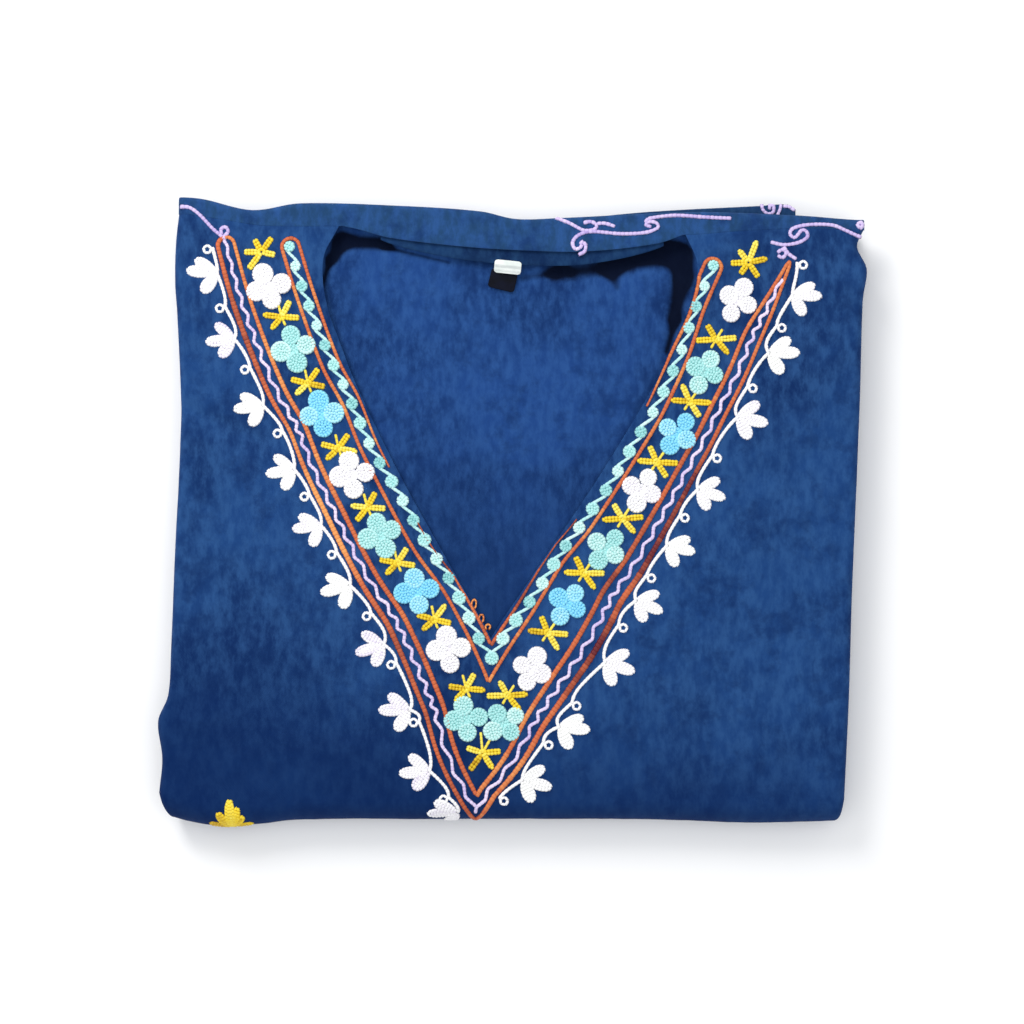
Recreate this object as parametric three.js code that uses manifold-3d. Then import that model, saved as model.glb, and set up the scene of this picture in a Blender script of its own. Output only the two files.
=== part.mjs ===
// A long V-necked kaftan with an embroidered neck, pressed and folded into a flat square parcel.
// It lies neck side up. Millimetres, +Z up, +Y towards the neck, origin under the parcel's middle.
//
// The garment is folded in four along its length, so four packets of cloth lie on each other:
// the top packet shows the neck, the bottom packet lies on the table, and two lie between them.
// The front's cloth is the outside of the top packet, the fold at the bottom end and the underside.
// The back's cloth shows above the neckline, turns over the top fold and shows again in the V.
import * as THREE from "three";
import Module from "manifold-3d";

// Driving dimensions.
const WALL = 1.2; // cloth as a wall
const GAP = 0.4; // between pieces at seams and between layers
const PARCEL_HEIGHT = 24.8; // at the edges, before the crown
const TOP_PACKET_FOOT = 16.8; // where the top packet's side folds come round to
const UNDER_PACKET = 6; // height of the bottom packet's side folds
const BACK_FOLD = 11; // height of the fold that closes the two lower packets at the neck end
const CROWN = 2.2; // how far the middle of the top stands above its edges
const APEX_Y = -68.9; // point of the V-neck
const AXIS_LEAN = 0.052; // the garment's middle line leans this much for each millimetre of length
const AXIS_FOOT_Y = 150; // where the middle line crosses the parcel's own middle
const V_SLOPE = 0.49; // half the V's width for each millimetre of its height, carried on below it
const BAND_WIDTH = 43; // embroidered band, square to its own edge
const BAND_TOP_Y = 145; // where the band ends below the shoulder
const BAND_RELIEF = 0.8; // thickness that the stitches add to the band
const BAND_RAMP = 2; // over which that thickness builds up
const SIDE_TUCK = 6; // cloth turned back under a side fold
const BACK_TUCK = 7; // cloth turned in at the closing fold
const BINDING_SHOWS = 7.8; // bound edge that shows below the back neckline
const BINDING_HIDDEN = 5; // bound edge that lies under the back yoke
const TRIM = 1; // thickness of the binding and of each label
const LABEL_WIDTH = 14.6;
const PARCEL_MIDDLE = { x: -0.014, y: -1.014 }; // of the whole parcel, in the tables' own frame

// Colours and finish of each cloth.
const CLOTH = { color: 0x1f4683, roughness: 0.92, metalness: 0 };
const INSIDE = { color: 0x254c8c, roughness: 0.94, metalness: 0 };
const DARK_TRIM = { color: 0x122a52, roughness: 0.9, metalness: 0 };
const WHITE_TAPE = { color: 0xe9f2ee, roughness: 0.7, metalness: 0 };
const BLACK_TAPE = { color: 0x0b0f1c, roughness: 0.75, metalness: 0 };

// The parcel's outline from above, one row for each stretch that bends.
const LEFT_SIDE = [
  { y: -172, x: -187.5 },
  { y: -160.6, x: -191.2 },
  { y: -135, x: -189.5 },
  { y: -115, x: -191.7 },
  { y: -99.6, x: -186.3 },
  { y: -75, x: -184.7 },
  { y: -21, x: -182.5 },
  { y: 33, x: -179.8 },
  { y: 60, x: -179.3 },
  { y: 108, x: -181.4 },
  { y: 124, x: -182.5 },
  { y: 146, x: -182 },
  { y: 170, x: -179.3 },
];
const RIGHT_SIDE = [
  { y: -172, x: 179.2 },
  { y: -102, x: 182.5 },
  { y: -48, x: 184.1 },
  { y: 6, x: 186.3 },
  { y: 60, x: 188.5 },
  { y: 114, x: 190.1 },
  { y: 131, x: 192.2 },
  { y: 143, x: 187 },
  { y: 154, x: 191.2 },
  { y: 160, x: 190.8 },
];
const LOWER_SIDES = [
  { y: -168, left: -184, right: 177 },
  { y: 166, left: -178.2, right: 187.6 },
];
const BOTTOM_END = [
  { x: -192, y: -162 },
  { x: -182, y: -167.5 },
  { x: -160, y: -171.5 },
  { x: -141, y: -170.9 },
  { x: -114, y: -168.2 },
  { x: -33, y: -168 },
  { x: 74, y: -168.2 },
  { x: 128, y: -169.8 },
  { x: 184, y: -168.6 },
];
const TOP_FOLD = [
  { x: -183, y: 170 },
  { x: -168, y: 168.8 },
  { x: -141, y: 162.8 },
  { x: -115, y: 166.4 },
  { x: -60, y: 165 },
  { x: -17, y: 162 },
  { x: 2, y: 157.9 },
  { x: 26, y: 158.4 },
  { x: 100, y: 161.7 },
  { x: 155, y: 159.8 },
  { x: 187, y: 157.4 },
  { x: 193, y: 158 },
];
const RIGHT_SLEEVE_FOLD = [
  { x: 20, y: 156.5 },
  { x: 69, y: 161.9 },
  { x: 134, y: 165.5 },
  { x: 149, y: 166.2 },
  { x: 154, y: 163.5 },
];
const LEFT_SLEEVE_FOLD = [
  { x: -166, y: 163.5 },
  { x: -140, y: 160.5 },
  { x: -80, y: 163 },
  { x: -20, y: 159 },
];

// Where the front meets the back, and the neck hole that the two share.
const SHOULDER_SEAM = [
  { x: -184, y: 161.5 },
  { x: -155, y: 157 },
  { x: -134, y: 154 },
  { x: -93, y: 153.6 },
  { x: 94, y: 149 },
  { x: 120, y: 150.8 },
  { x: 150, y: 152.4 },
  { x: 193, y: 151.5 },
];
const NECK_HALF_WIDTH = [
  { y: APEX_Y, half: 0 },
  { y: -60, half: 5 },
  { y: -45, half: 14.5 },
  { y: -25, half: 27 },
  { y: 20, half: 54.5 },
  { y: 67, half: 80 },
  { y: 90, half: 90.2 },
  { y: 105, half: 96.5 },
  { y: 122, half: 100.6 },
  { y: 136, half: 100.6 },
  { y: 149, half: 94.8 },
  { y: 154, half: 92 },
];
// The embroidered band leaves the neck's edge above this height and runs on to the shoulder.
const BAND_EDGE = [
  ...NECK_HALF_WIDTH.filter(({ y }) => y <= 105),
  { y: 122, half: 104.5 },
  { y: 154, half: 116 },
];
const BACK_NECKLINE = [
  { x: -93, y: 154 },
  { x: -84, y: 152.2 },
  { x: -66, y: 147.4 },
  { x: -26, y: 142.6 },
  { x: 9, y: 140.4 },
  { x: 40, y: 140 },
  { x: 78, y: 144.2 },
  { x: 94, y: 149.5 },
];

// The largest folds of the face: soft troughs and ridges between two points.
const FACE_FOLDS = [
  { x0: -186, y0: 60, x1: -134, y1: 37, half: 8, lift: -1.5 },
  { x0: -186, y0: 45, x1: -140, y1: 24, half: 9, lift: 0.9 },
  { x0: -184, y0: 16, x1: -158, y1: -4, half: 7, lift: -1.0 },
  { x0: 108, y0: -30, x1: 190, y1: 22, half: 9, lift: 0.9 },
  { x0: 124, y0: 14, x1: 190, y1: 42, half: 8, lift: -0.8 },
  { x0: -140, y0: 163, x1: -98, y1: 150, half: 8, lift: -1.0 },
  { x0: 112, y0: 158, x1: 188, y1: 143, half: 8, lift: -1.0 },
  { x0: -118, y0: 140, x1: -104, y1: 118, half: 16, lift: 1.6 },
  { x0: 108, y0: 136, x1: 100, y1: 108, half: 16, lift: 1.8 },
  { x0: -188, y0: -118, x1: -160, y1: -110, half: 10, lift: 0.8 },
  { x0: -120, y0: -158, x1: 120, y1: -152, half: 12, lift: -0.7 },
];

// Hidden packets between the front's cloth: heights and how far each stands back from the outline.
const HIDDEN_LAYERS = [
  { outline: "lower", low: 1.6, high: 4.4, sides: 3.6, back: 11, round: 0.4 },
  { outline: "lower", low: 3.6, high: 9.2, sides: 11, back: 11, round: 0.4 },
  { outline: "upper", low: 6.3, high: 11.5, sides: 1.4, back: 18, round: 2.2 },
  { outline: "upper", low: 11.35, high: 15, sides: 0.5, back: 4.5, round: 1.7 },
  { outline: "upper", low: 13.6, high: 16.4, sides: 2.4, back: 76, round: 1.1 },
];
const TOP_CORE = { outline: "upper", low: 16, sides: 13, back: 80 };
const CORE_CORNER = 0.07; // rounding of the hidden packets' corners, as a share of half the parcel

const { clamp, lerp, smoothstep } = THREE.MathUtils;

// A smooth curve through a table's rows, read from the column named key.
function curveOf(rows, key, value) {
  const slopes = rows.map((row, i) => {
    const before = rows[Math.max(i - 1, 0)];
    const after = rows[Math.min(i + 1, rows.length - 1)];
    return (after[value] - before[value]) / (after[key] - before[key]);
  });
  return (at) => {
    let i = 0;
    while (i < rows.length - 2 && at > rows[i + 1][key]) i += 1;
    const span = rows[i + 1][key] - rows[i][key];
    const t = clamp((at - rows[i][key]) / span, 0, 1);
    const far = t * t * (3 - 2 * t);
    const nearPull = t * (1 - t) * (1 - t) * span * slopes[i];
    const farPull = t * t * (t - 1) * span * slopes[i + 1];
    return lerp(rows[i][value], rows[i + 1][value], far) + nearPull + farPull;
  };
}

const leftSide = curveOf(LEFT_SIDE, "y", "x");
const rightSide = curveOf(RIGHT_SIDE, "y", "x");
const lowerLeft = curveOf(LOWER_SIDES, "y", "left");
const lowerRight = curveOf(LOWER_SIDES, "y", "right");
const bottomEnd = curveOf(BOTTOM_END, "x", "y");
const topFold = curveOf(TOP_FOLD, "x", "y");
const shoulderSeam = curveOf(SHOULDER_SEAM, "x", "y");
const neckHalfWidth = curveOf(NECK_HALF_WIDTH, "y", "half");
const bandEdge = curveOf(BAND_EDGE, "y", "half");
const backNeckline = curveOf(BACK_NECKLINE, "x", "y");
const middleLine = (y) => AXIS_LEAN * (y - AXIS_FOOT_Y);

// Half the V's width, carried on below its point as a negative width.
function neckReach(y) {
  return y > APEX_Y ? neckHalfWidth(y) : V_SLOPE * (y - APEX_Y);
}

// Distance from the embroidered band's inner edge, square to it.
function fromBandEdge(x, y) {
  const reach = y > APEX_Y ? bandEdge(y) : neckReach(y);
  return (Math.abs(x - middleLine(y)) - reach) / Math.hypot(1, V_SLOPE);
}

// How far a point lies along and beside the line of one fold, as a rounded bump.
function foldLift(fold, x, y) {
  const alongX = fold.x1 - fold.x0;
  const alongY = fold.y1 - fold.y0;
  const length = Math.hypot(alongX, alongY);
  const along = ((x - fold.x0) * alongX + (y - fold.y0) * alongY) / length;
  const beside = ((x - fold.x0) * alongY - (y - fold.y0) * alongX) / length;
  const past = Math.max(-along, along - length, 0);
  const reach = Math.hypot(beside, past) / fold.half;
  return fold.lift * Math.exp(-2 * reach * reach);
}

// Height of the parcel's top before its folds: low at the edges, a little higher in the middle.
function restingHeight(x, y) {
  const across = Math.max(1 - Math.abs(x / 190) ** 3, 0);
  const along = Math.max(1 - Math.abs((y + 4) / 168) ** 3, 0);
  return PARCEL_HEIGHT + CROWN * across * along;
}

// Height of the parcel's top, without the stitches.
function topHeight(x, y) {
  return FACE_FOLDS.reduce((sum, fold) => sum + foldLift(fold, x, y), restingHeight(x, y));
}

// Thickness that the embroidery adds.
function stitchRelief(x, y) {
  const from = fromBandEdge(x, y);
  const inner = smoothstep(from, 0, BAND_RAMP);
  const outer = 1 - smoothstep(from, BAND_WIDTH - BAND_RAMP, BAND_WIDTH);
  const end = 1 - smoothstep(y, BAND_TOP_Y - BAND_RAMP, BAND_TOP_Y + BAND_RAMP);
  return BAND_RELIEF * inner * outer * end;
}

// Air between the front and the back's inside, which opens towards the neck.
function airUnderFront(y) {
  return lerp(0.5, 4.2, smoothstep(y, -60, 130));
}

// A closed wall from a grid of points. pointAt(row, column, inset) gives the outside at inset 0
// and the inside at inset WALL. A cell may be cloth, open or shut, which is open with no width.
function wallOf(rowCount, columnCount, pointAt, cellAt = () => "cloth", thickness = WALL) {
  const vertices = [];
  for (const inset of [0, thickness]) {
    for (let i = 0; i <= rowCount; i += 1) {
      for (let j = 0; j <= columnCount; j += 1) vertices.push(...pointAt(i, j, inset).toArray());
    }
  }
  const layer = (rowCount + 1) * (columnCount + 1);
  const index = (i, j, side) => side * layer + i * (columnCount + 1) + j;
  const stateOf = (i, j) => {
    const inside = i >= 0 && j >= 0 && i < rowCount && j < columnCount;
    return inside ? cellAt(i, j) : "open";
  };
  const faces = [];
  const addQuad = (a, b, c, d) => faces.push(a, b, c, a, c, d);
  for (let i = 0; i < rowCount; i += 1) {
    for (let j = 0; j < columnCount; j += 1) {
      if (stateOf(i, j) !== "cloth") continue;
      const corners = [[i, j], [i + 1, j], [i + 1, j + 1], [i, j + 1]];
      const neighbours = [[i, j - 1], [i + 1, j], [i, j + 1], [i - 1, j]];
      addQuad(...corners.map(([r, c]) => index(r, c, 0)));
      addQuad(...corners.map(([r, c]) => index(r, c, 1)).reverse());
      neighbours.forEach(([r, c], k) => {
        if (stateOf(r, c) !== "open") return;
        const [from, to] = [corners[k], corners[(k + 1) % 4]];
        addQuad(index(...to, 0), index(...from, 0), index(...from, 1), index(...to, 1));
      });
    }
  }
  const geometry = new THREE.BufferGeometry();
  geometry.setAttribute("position", new THREE.Float32BufferAttribute(vertices, 3));
  geometry.setIndex(faces);
  return geometry;
}

function namedMesh(name, geometry, finish) {
  geometry.computeVertexNormals();
  const mesh = new THREE.Mesh(geometry, new THREE.MeshStandardMaterial(finish));
  mesh.name = name;
  return mesh;
}

// Places evenly spread from one share to another, both ends included.
function spread(from, to, count) {
  return Array.from({ length: count + 1 }, (_, i) => lerp(from, to, i / count));
}

// The front's rows, from the shoulder seam over the face, round the fold, along the underside
// and round the closing fold at the neck end.
function frontRows() {
  const zoneRows = (zone, shares) => shares.map((share) => ({ zone, share }));
  return [
    ...zoneRows("upper", spread(0, 1, 13)),
    ...zoneRows("lower", spread(0, 1, 6).slice(1)),
    ...zoneRows("fold", spread(0, 1, 8).slice(1)),
    ...zoneRows("under", spread(0, 1, 6).slice(1)),
    ...zoneRows("back", spread(0, 1, 6).slice(1)),
    ...zoneRows("tuck", [1]),
  ];
}

// The columns of one half, from the cloth tucked under the side to the V's edge.
function frontColumns(side) {
  const wrap = spread(1, 0, 5).map((turn) => ({ side, kind: "wrap", turn }));
  const face = spread(0, 1, 6).slice(1, -1).map((share) => ({ side, kind: "face", share }));
  const band = [BAND_WIDTH, BAND_WIDTH - BAND_RAMP, 30, 20, 10, BAND_RAMP, 0].map((from, i) => {
    return { side, kind: "band", from, step: 6 - i };
  });
  const half = [{ side, kind: "tuck" }, ...wrap, ...face, ...band];
  return side < 0 ? half : half.reverse();
}

const bottomRadius = (x) => topHeight(x, bottomEnd(x) + PARCEL_HEIGHT / 2) / 2;
const foldStart = (x) => bottomEnd(x) + bottomRadius(x);
const backStart = (x) => topFold(x) - 3 - BACK_FOLD / 2;

// Y on the garment's face at one row, for a given x.
function faceY(row, x) {
  if (row.zone === "upper") return lerp(shoulderSeam(x), APEX_Y, row.share);
  if (row.zone === "lower") return lerp(APEX_Y, foldStart(x), row.share);
  return foldStart(x);
}

// Y and Z at one row, at depth d under the cloth's outside.
function profileAt(row, x, d) {
  const radius = bottomRadius(x);
  const backRadius = BACK_FOLD / 2;
  const turn = row.share * Math.PI;
  switch (row.zone) {
    case "fold":
      return [foldStart(x) - (radius - d) * Math.sin(turn), radius + (radius - d) * Math.cos(turn)];
    case "under":
      return [lerp(foldStart(x), backStart(x), row.share), d];
    case "back":
      return [backStart(x) + (backRadius - d) * Math.sin(turn), backRadius - (backRadius - d) * Math.cos(turn)];
    case "tuck":
      return [backStart(x) - BACK_TUCK, BACK_FOLD - d];
    default: {
      const y = faceY(row, x);
      return [y, topHeight(x, y) - d];
    }
  }
}

// How far the side folds are turned round at one row: 1 is a full half turn. They open at the
// parcel's ends, where the cloth turns the other way as well.
function sideTurn(row) {
  if (row.zone === "fold") return lerp(1, 0.5, smoothstep(Math.min(row.share, 1 - row.share), 0, 0.25));
  if (row.zone === "under") return lerp(1, 0.35, smoothstep(row.share, 0.75, 1));
  return row.zone === "back" || row.zone === "tuck" ? 0.35 : 1;
}

function sideRadius(row, side) {
  if (row.zone === "under" || row.zone === "back" || row.zone === "tuck") return UNDER_PACKET / 2;
  const x = side * 182;
  const topPacket = topHeight(x, faceY(row, x)) - TOP_PACKET_FOOT;
  return lerp(topPacket, UNDER_PACKET, row.zone === "fold" ? row.share : 0) / 2;
}

// X of the parcel's side at one row.
function sideX(row, side) {
  const y = profileAt(row, side * 184, 0)[0];
  const upper = side < 0 ? leftSide(y) : rightSide(y);
  const lower = side < 0 ? lowerLeft(y) : lowerRight(y);
  if (row.zone === "upper" || row.zone === "lower") return upper;
  return row.zone === "fold" ? lerp(upper, lower, row.share) : lower;
}

// X of a column that follows the V, kept a little apart from its neighbours below the point.
function bandX(row, column) {
  const onFace = row.zone === "upper" || row.zone === "lower";
  const y = onFace ? faceY(row, column.side * 10 * column.step) : -156;
  const ownReach = neckReach(y) + column.from * Math.hypot(1, V_SLOPE);
  const followed = Math.max(ownReach, 2.2 * column.step);
  const even = 22 * column.step;
  const flat = smoothstep(-y, 96, 156);
  const reach = lerp(followed, even, row.zone === "upper" ? 0 : flat);
  return middleLine(Math.max(y, -156)) + column.side * (column.step === 0 ? Math.max(neckReach(y), 0) : reach);
}

function frontPoint(row, column, inset) {
  const { side } = column;
  const radius = sideRadius(row, side);
  const edge = sideX(row, side);
  const faceEnd = edge - side * radius;
  const outer = { side, from: BAND_WIDTH, step: 6 };
  let x = faceEnd;
  let depth = inset;
  if (column.kind === "wrap" || column.kind === "tuck") {
    const turn = Math.PI * sideTurn(row) * (column.kind === "tuck" ? 1 : column.turn);
    const tuck = column.kind === "tuck" ? SIDE_TUCK * smoothstep(sideTurn(row), 0.9, 1) + 0.3 : 0;
    x = faceEnd + side * ((radius - inset) * Math.sin(turn) + tuck * Math.cos(turn));
    depth = radius - (radius - inset) * Math.cos(turn) + tuck * Math.sin(turn);
  } else if (column.kind === "face") {
    x = lerp(faceEnd, bandX(row, outer), column.share);
  } else {
    x = bandX(row, column);
  }
  const atX = clamp(x, Math.min(faceEnd, -faceEnd), Math.max(faceEnd, -faceEnd));
  const [y, z] = profileAt(row, atX, depth);
  const onFace = row.zone === "upper" || row.zone === "lower" || row.zone === "fold";
  const patternY = row.zone === "fold" ? foldStart(atX) - bottomRadius(atX) * Math.PI * row.share : y;
  const relief = inset === 0 && onFace ? stitchRelief(x, patternY) : 0;
  const [reliefY, reliefZ] = relief > 0 ? profileAt(row, atX, depth - relief) : [y, z];
  return new THREE.Vector3(x, reliefY, reliefZ);
}

function frontPanel() {
  const rows = frontRows();
  const columns = [...frontColumns(-1), ...frontColumns(1)];
  const slit = columns.length / 2 - 1;
  const isUpper = (i) => rows[i + 1].zone === "upper";
  const cellAt = (i, j) => {
    if (j !== slit) return "cloth";
    return isUpper(i) ? "open" : "shut";
  };
  const pointAt = (i, j, inset) => frontPoint(rows[i], columns[j], inset);
  return wallOf(rows.length - 1, columns.length - 1, pointAt, cellAt);
}

// The back's cloth: a yoke above the neckline and the seams, the top fold, and the inside that
// shows through the V.
const topFoldRadius = WALL + airUnderFront(160) / 2;
const yokeStart = (x) => {
  const onShoulder = x < BACK_NECKLINE[0].x || x > BACK_NECKLINE.at(-1).x;
  return onShoulder ? shoulderSeam(x) + GAP : backNeckline(x);
};
const INSIDE_END_Y = -96;

function backPoint(row, share, inset) {
  const nearY = row.zone === "inside" ? lerp(155, INSIDE_END_Y, row.share) : 156;
  const setBack = lerp(1, 7, row.inward);
  const x = lerp(leftSide(nearY) + setBack, rightSide(nearY) - setBack, share);
  const turnY = topFold(x) - topFoldRadius;
  const radius = topFoldRadius - inset;
  const edgeDrop = 1.6 * (smoothstep(Math.abs(share - 0.5), 0.488, 0.5) * (1 - row.inward));
  if (row.zone === "yoke") {
    const y = lerp(yokeStart(x), turnY, row.share);
    return new THREE.Vector3(x, y, topHeight(x, y) - inset - edgeDrop);
  }
  const foldZ = topHeight(x, turnY) - topFoldRadius - edgeDrop;
  if (row.zone === "fold") {
    const turn = row.share * Math.PI;
    return new THREE.Vector3(x, turnY + radius * Math.sin(turn), foldZ + radius * Math.cos(turn));
  }
  const y = lerp(turnY, INSIDE_END_Y, row.share);
  const depth = 2 * WALL + airUnderFront(y) - inset;
  return new THREE.Vector3(x, y, topHeight(x, y) - depth);
}

function backPanel() {
  const rows = [
    ...spread(0, 1, 2).map((share) => ({ zone: "yoke", share, inward: 0 })),
    ...spread(0, 1, 6).slice(1).map((share) => ({ zone: "fold", share, inward: share })),
    ...spread(0, 1, 9).slice(1).map((share) => ({ zone: "inside", share, inward: 1 })),
  ];
  const neckShares = [BACK_NECKLINE[0].x, BACK_NECKLINE.at(-1).x].map((x) => {
    return (x - leftSide(156) - 1) / (rightSide(156) - leftSide(156) - 2);
  });
  const shares = [
    ...spread(0, neckShares[0] - 0.001, 7),
    ...spread(neckShares[0], neckShares[1], 14),
    ...spread(neckShares[1] + 0.001, 1, 7),
  ].reverse();
  const pointAt = (i, j, inset) => backPoint(rows[i], shares[j], inset);
  return wallOf(rows.length - 1, shares.length - 1, pointAt);
}

// The turned and bound edge that shows below the back yoke, narrower towards the shoulders.
function neckBinding() {
  const xs = spread(BACK_NECKLINE[0].x + 8, BACK_NECKLINE.at(-1).x - 8, 18);
  const reach = [BINDING_HIDDEN, 0, -BINDING_SHOWS];
  const pointAt = (i, j, inset) => {
    const narrow = Math.sin((Math.PI * (j + 0.7)) / (xs.length + 0.4)) ** 0.6;
    const y = backNeckline(xs[j]) + reach[i] * narrow;
    return new THREE.Vector3(xs[j], y, topHeight(xs[j], y) - WALL - GAP + 0.1 - inset);
  };
  return wallOf(reach.length - 1, xs.length - 1, pointAt, undefined, TRIM);
}

// The two labels at the back of the neck. The white one is sewn over the binding and falls from
// it, and the black one hangs out from under it. Depths are below the parcel's top.
const WHITE_LABEL = { x: -2.3, y: 131.2, turn: -0.1, length: 7.8, depths: [0.15, 0.3, 1.7, 2.9] };
const BLACK_LABEL = { x: -5, y: 124.1, turn: -0.24, length: 11, depths: [4.1, 4.1, 4.1, 4.1] };

function label({ x, y, turn, length, depths }) {
  const pointAt = (i, j, inset) => {
    const across = (j / 4 - 0.5) * LABEL_WIDTH;
    const along = (0.5 - i / (depths.length - 1)) * length;
    const px = x + across * Math.cos(turn) - along * Math.sin(turn);
    const py = y + across * Math.sin(turn) + along * Math.cos(turn);
    return new THREE.Vector3(px, py, topHeight(px, py) - depths[i] - inset);
  };
  return wallOf(depths.length - 1, 4, pointAt, undefined, TRIM);
}

// A sleeve folded in behind the top packet: two layers pressed together, round at their fold.
function foldedSleeve(foldRows, foot) {
  const fold = curveOf(foldRows, "x", "y");
  const low = 15.4;
  const high = 17;
  const radius = (high - low) / 2;
  const xs = spread(foldRows.at(-1).x, foldRows[0].x, 10);
  const stations = [
    { y: () => foot, out: 0 },
    { y: (x) => lerp(foot, fold(x), 0.5), out: 0 },
    ...spread(0, 1, 4).map((share) => ({ y: (x) => fold(x) - radius, out: share })),
  ];
  const pointAt = (i, j, inset) => {
    const x = xs[j];
    const turn = (stations[i].out * Math.PI) / 2;
    const flat = inset === 0 ? 1 : -1;
    const y = stations[i].y(x) + radius * Math.sin(turn) * 0.999;
    return new THREE.Vector3(x, y, (low + high) / 2 + flat * Math.max(radius * Math.cos(turn), 0.05));
  };
  return wallOf(stations.length - 1, xs.length - 1, pointAt);
}

// Rings round one hidden packet, each with its height and how far its side is rounded in.
function packetRings({ low, high, round }) {
  return [[0, 1], [0.22, 0.22], [0.5, 0], [0.78, 0.22], [1, 1]].map(([share, tuck]) => {
    return { heightAt: () => lerp(low, high, share), level: lerp(low, high, share), tuck: tuck * round, shrink: 1 };
  });
}

// Rings of the top packet's filling, which ends under the back's inside.
function topCoreRings({ low }) {
  const under = (x, y) => restingHeight(x, y) - 2 * WALL - airUnderFront(y) - GAP - 1.6;
  const sides = [0, 1].map((share) => {
    return { heightAt: (x, y) => lerp(low, under(x, y), share), level: lerp(low, 20.4, share), tuck: 0, shrink: 1 };
  });
  const crown = [0.8, 0.6, 0.4, 0.2].map((shrink) => ({ heightAt: under, level: 20.4, tuck: 0, shrink }));
  return [...sides, ...crown];
}

// How far the rounded bottom end stands back at one height, with its cloth and a gap.
function nestAt(level) {
  const radius = PARCEL_HEIGHT / 2;
  const inner = radius - WALL - 1.5;
  return radius - Math.sqrt(Math.max(inner ** 2 - (level - radius) ** 2, 0));
}

// Points round a square from -1 to 1 with rounded corners, counterclockwise.
function roundedSquare(perSide, radius) {
  const side = spread(radius - 1, 1 - radius, perSide).map((across) => [across, -1]);
  const corner = [0.25, 0.5, 0.75].map((share) => {
    const turn = (share * Math.PI) / 2;
    return [1 - radius + radius * Math.sin(turn), radius - 1 - radius * Math.cos(turn)];
  });
  const quarter = [...side, ...corner];
  const turns = [([a, b]) => [a, b], ([a, b]) => [-b, a], ([a, b]) => [-a, -b], ([a, b]) => [b, -a]];
  return turns.flatMap((turned) => quarter.map(turned));
}

// One hidden packet: the parcel's outline, set back, as a closed stack of rings.
function hiddenLayer({ outline, sides, back }, rings) {
  const [leftAt, rightAt] = outline === "upper" ? [leftSide, rightSide] : [lowerLeft, lowerRight];
  const square = roundedSquare(14, CORE_CORNER);
  const around = square.length;
  const ringPoint = (ring, [across, along]) => {
    const roughX = 184 * across * ring.shrink;
    const front = bottomEnd(roughX) + nestAt(ring.level) + ring.tuck * 0.3;
    const y = lerp(front, topFold(roughX) - back - ring.tuck, (along * ring.shrink + 1) / 2);
    const left = leftAt(y) + sides + ring.tuck;
    const right = rightAt(y) - sides - ring.tuck;
    const x = lerp(left, right, (across * ring.shrink + 1) / 2);
    return [x, y, ring.heightAt(x, y)];
  };
  const points = rings.map((ring) => square.map((place) => ringPoint(ring, place)));
  const middle = (ring) => ringPoint({ ...ring, shrink: 0 }, [0, 0]);
  const foot = rings.length * around;
  const vertices = [...points.flat(), middle(rings[0]), middle(rings.at(-1))].flat();
  const faces = [];
  const at = (k, i) => k * around + (i % around);
  const last = rings.length - 1;
  for (let i = 0; i < around; i += 1) {
    faces.push(foot, at(0, i + 1), at(0, i));
    faces.push(foot + 1, at(last, i), at(last, i + 1));
    for (let k = 0; k < last; k += 1) {
      faces.push(at(k, i), at(k, i + 1), at(k + 1, i + 1));
      faces.push(at(k, i), at(k + 1, i + 1), at(k + 1, i));
    }
  }
  const geometry = new THREE.BufferGeometry();
  geometry.setAttribute("position", new THREE.Float32BufferAttribute(vertices, 3));
  geometry.setIndex(faces);
  return geometry;
}

// All the hidden packets, joined into one solid that fills the parcel.
async function hiddenLayers() {
  const wasm = await Module();
  wasm.setup();
  const solidOf = (geometry) => {
    const vertProperties = geometry.getAttribute("position").array;
    const triVerts = new Uint32Array(geometry.getIndex().array);
    return new wasm.Manifold(new wasm.Mesh({ numProp: 3, vertProperties, triVerts }));
  };
  const packets = HIDDEN_LAYERS.map((layer) => solidOf(hiddenLayer(layer, packetRings(layer))));
  const filling = solidOf(hiddenLayer(TOP_CORE, topCoreRings(TOP_CORE)));
  const joined = packets.reduce((whole, solid) => whole.add(solid), filling);
  const { vertProperties, triVerts } = joined.getMesh();
  const geometry = new THREE.BufferGeometry();
  geometry.setAttribute("position", new THREE.Float32BufferAttribute(vertProperties, 3));
  geometry.setIndex([...triVerts]);
  return geometry;
}

const kaftan = new THREE.Group();
kaftan.add(
  namedMesh("front_panel", frontPanel(), CLOTH),
  namedMesh("back_panel", backPanel(), INSIDE),
  namedMesh("back_neck_binding", neckBinding(), DARK_TRIM),
  namedMesh("white_label", label(WHITE_LABEL), WHITE_TAPE),
  namedMesh("black_label", label(BLACK_LABEL), BLACK_TAPE),
  namedMesh("right_sleeve", foldedSleeve(RIGHT_SLEEVE_FOLD, 98), CLOTH),
  namedMesh("left_sleeve", foldedSleeve(LEFT_SLEEVE_FOLD, 98), CLOTH),
  namedMesh("hidden_layers", await hiddenLayers(), CLOTH),
);
kaftan.position.set(-PARCEL_MIDDLE.x, -PARCEL_MIDDLE.y, 0);

export default kaftan;
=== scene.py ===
"""A long V-necked kaftan, embroidered round its neck, pressed and folded into a square parcel.

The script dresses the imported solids. Lengths are in millimetres in the parcel's own plan, with Y
towards the neck, and to_frame turns them into metres in the frame of the solids. Along the front, Y
runs on round the bottom fold as a length of cloth, so a stitched line keeps its course over the edge.
"""

import logging
import math
from collections.abc import Callable, Iterable, Sequence
from dataclasses import dataclass, field
from enum import Enum

import bmesh
import bpy
import numpy as np
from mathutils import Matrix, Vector, noise


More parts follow.
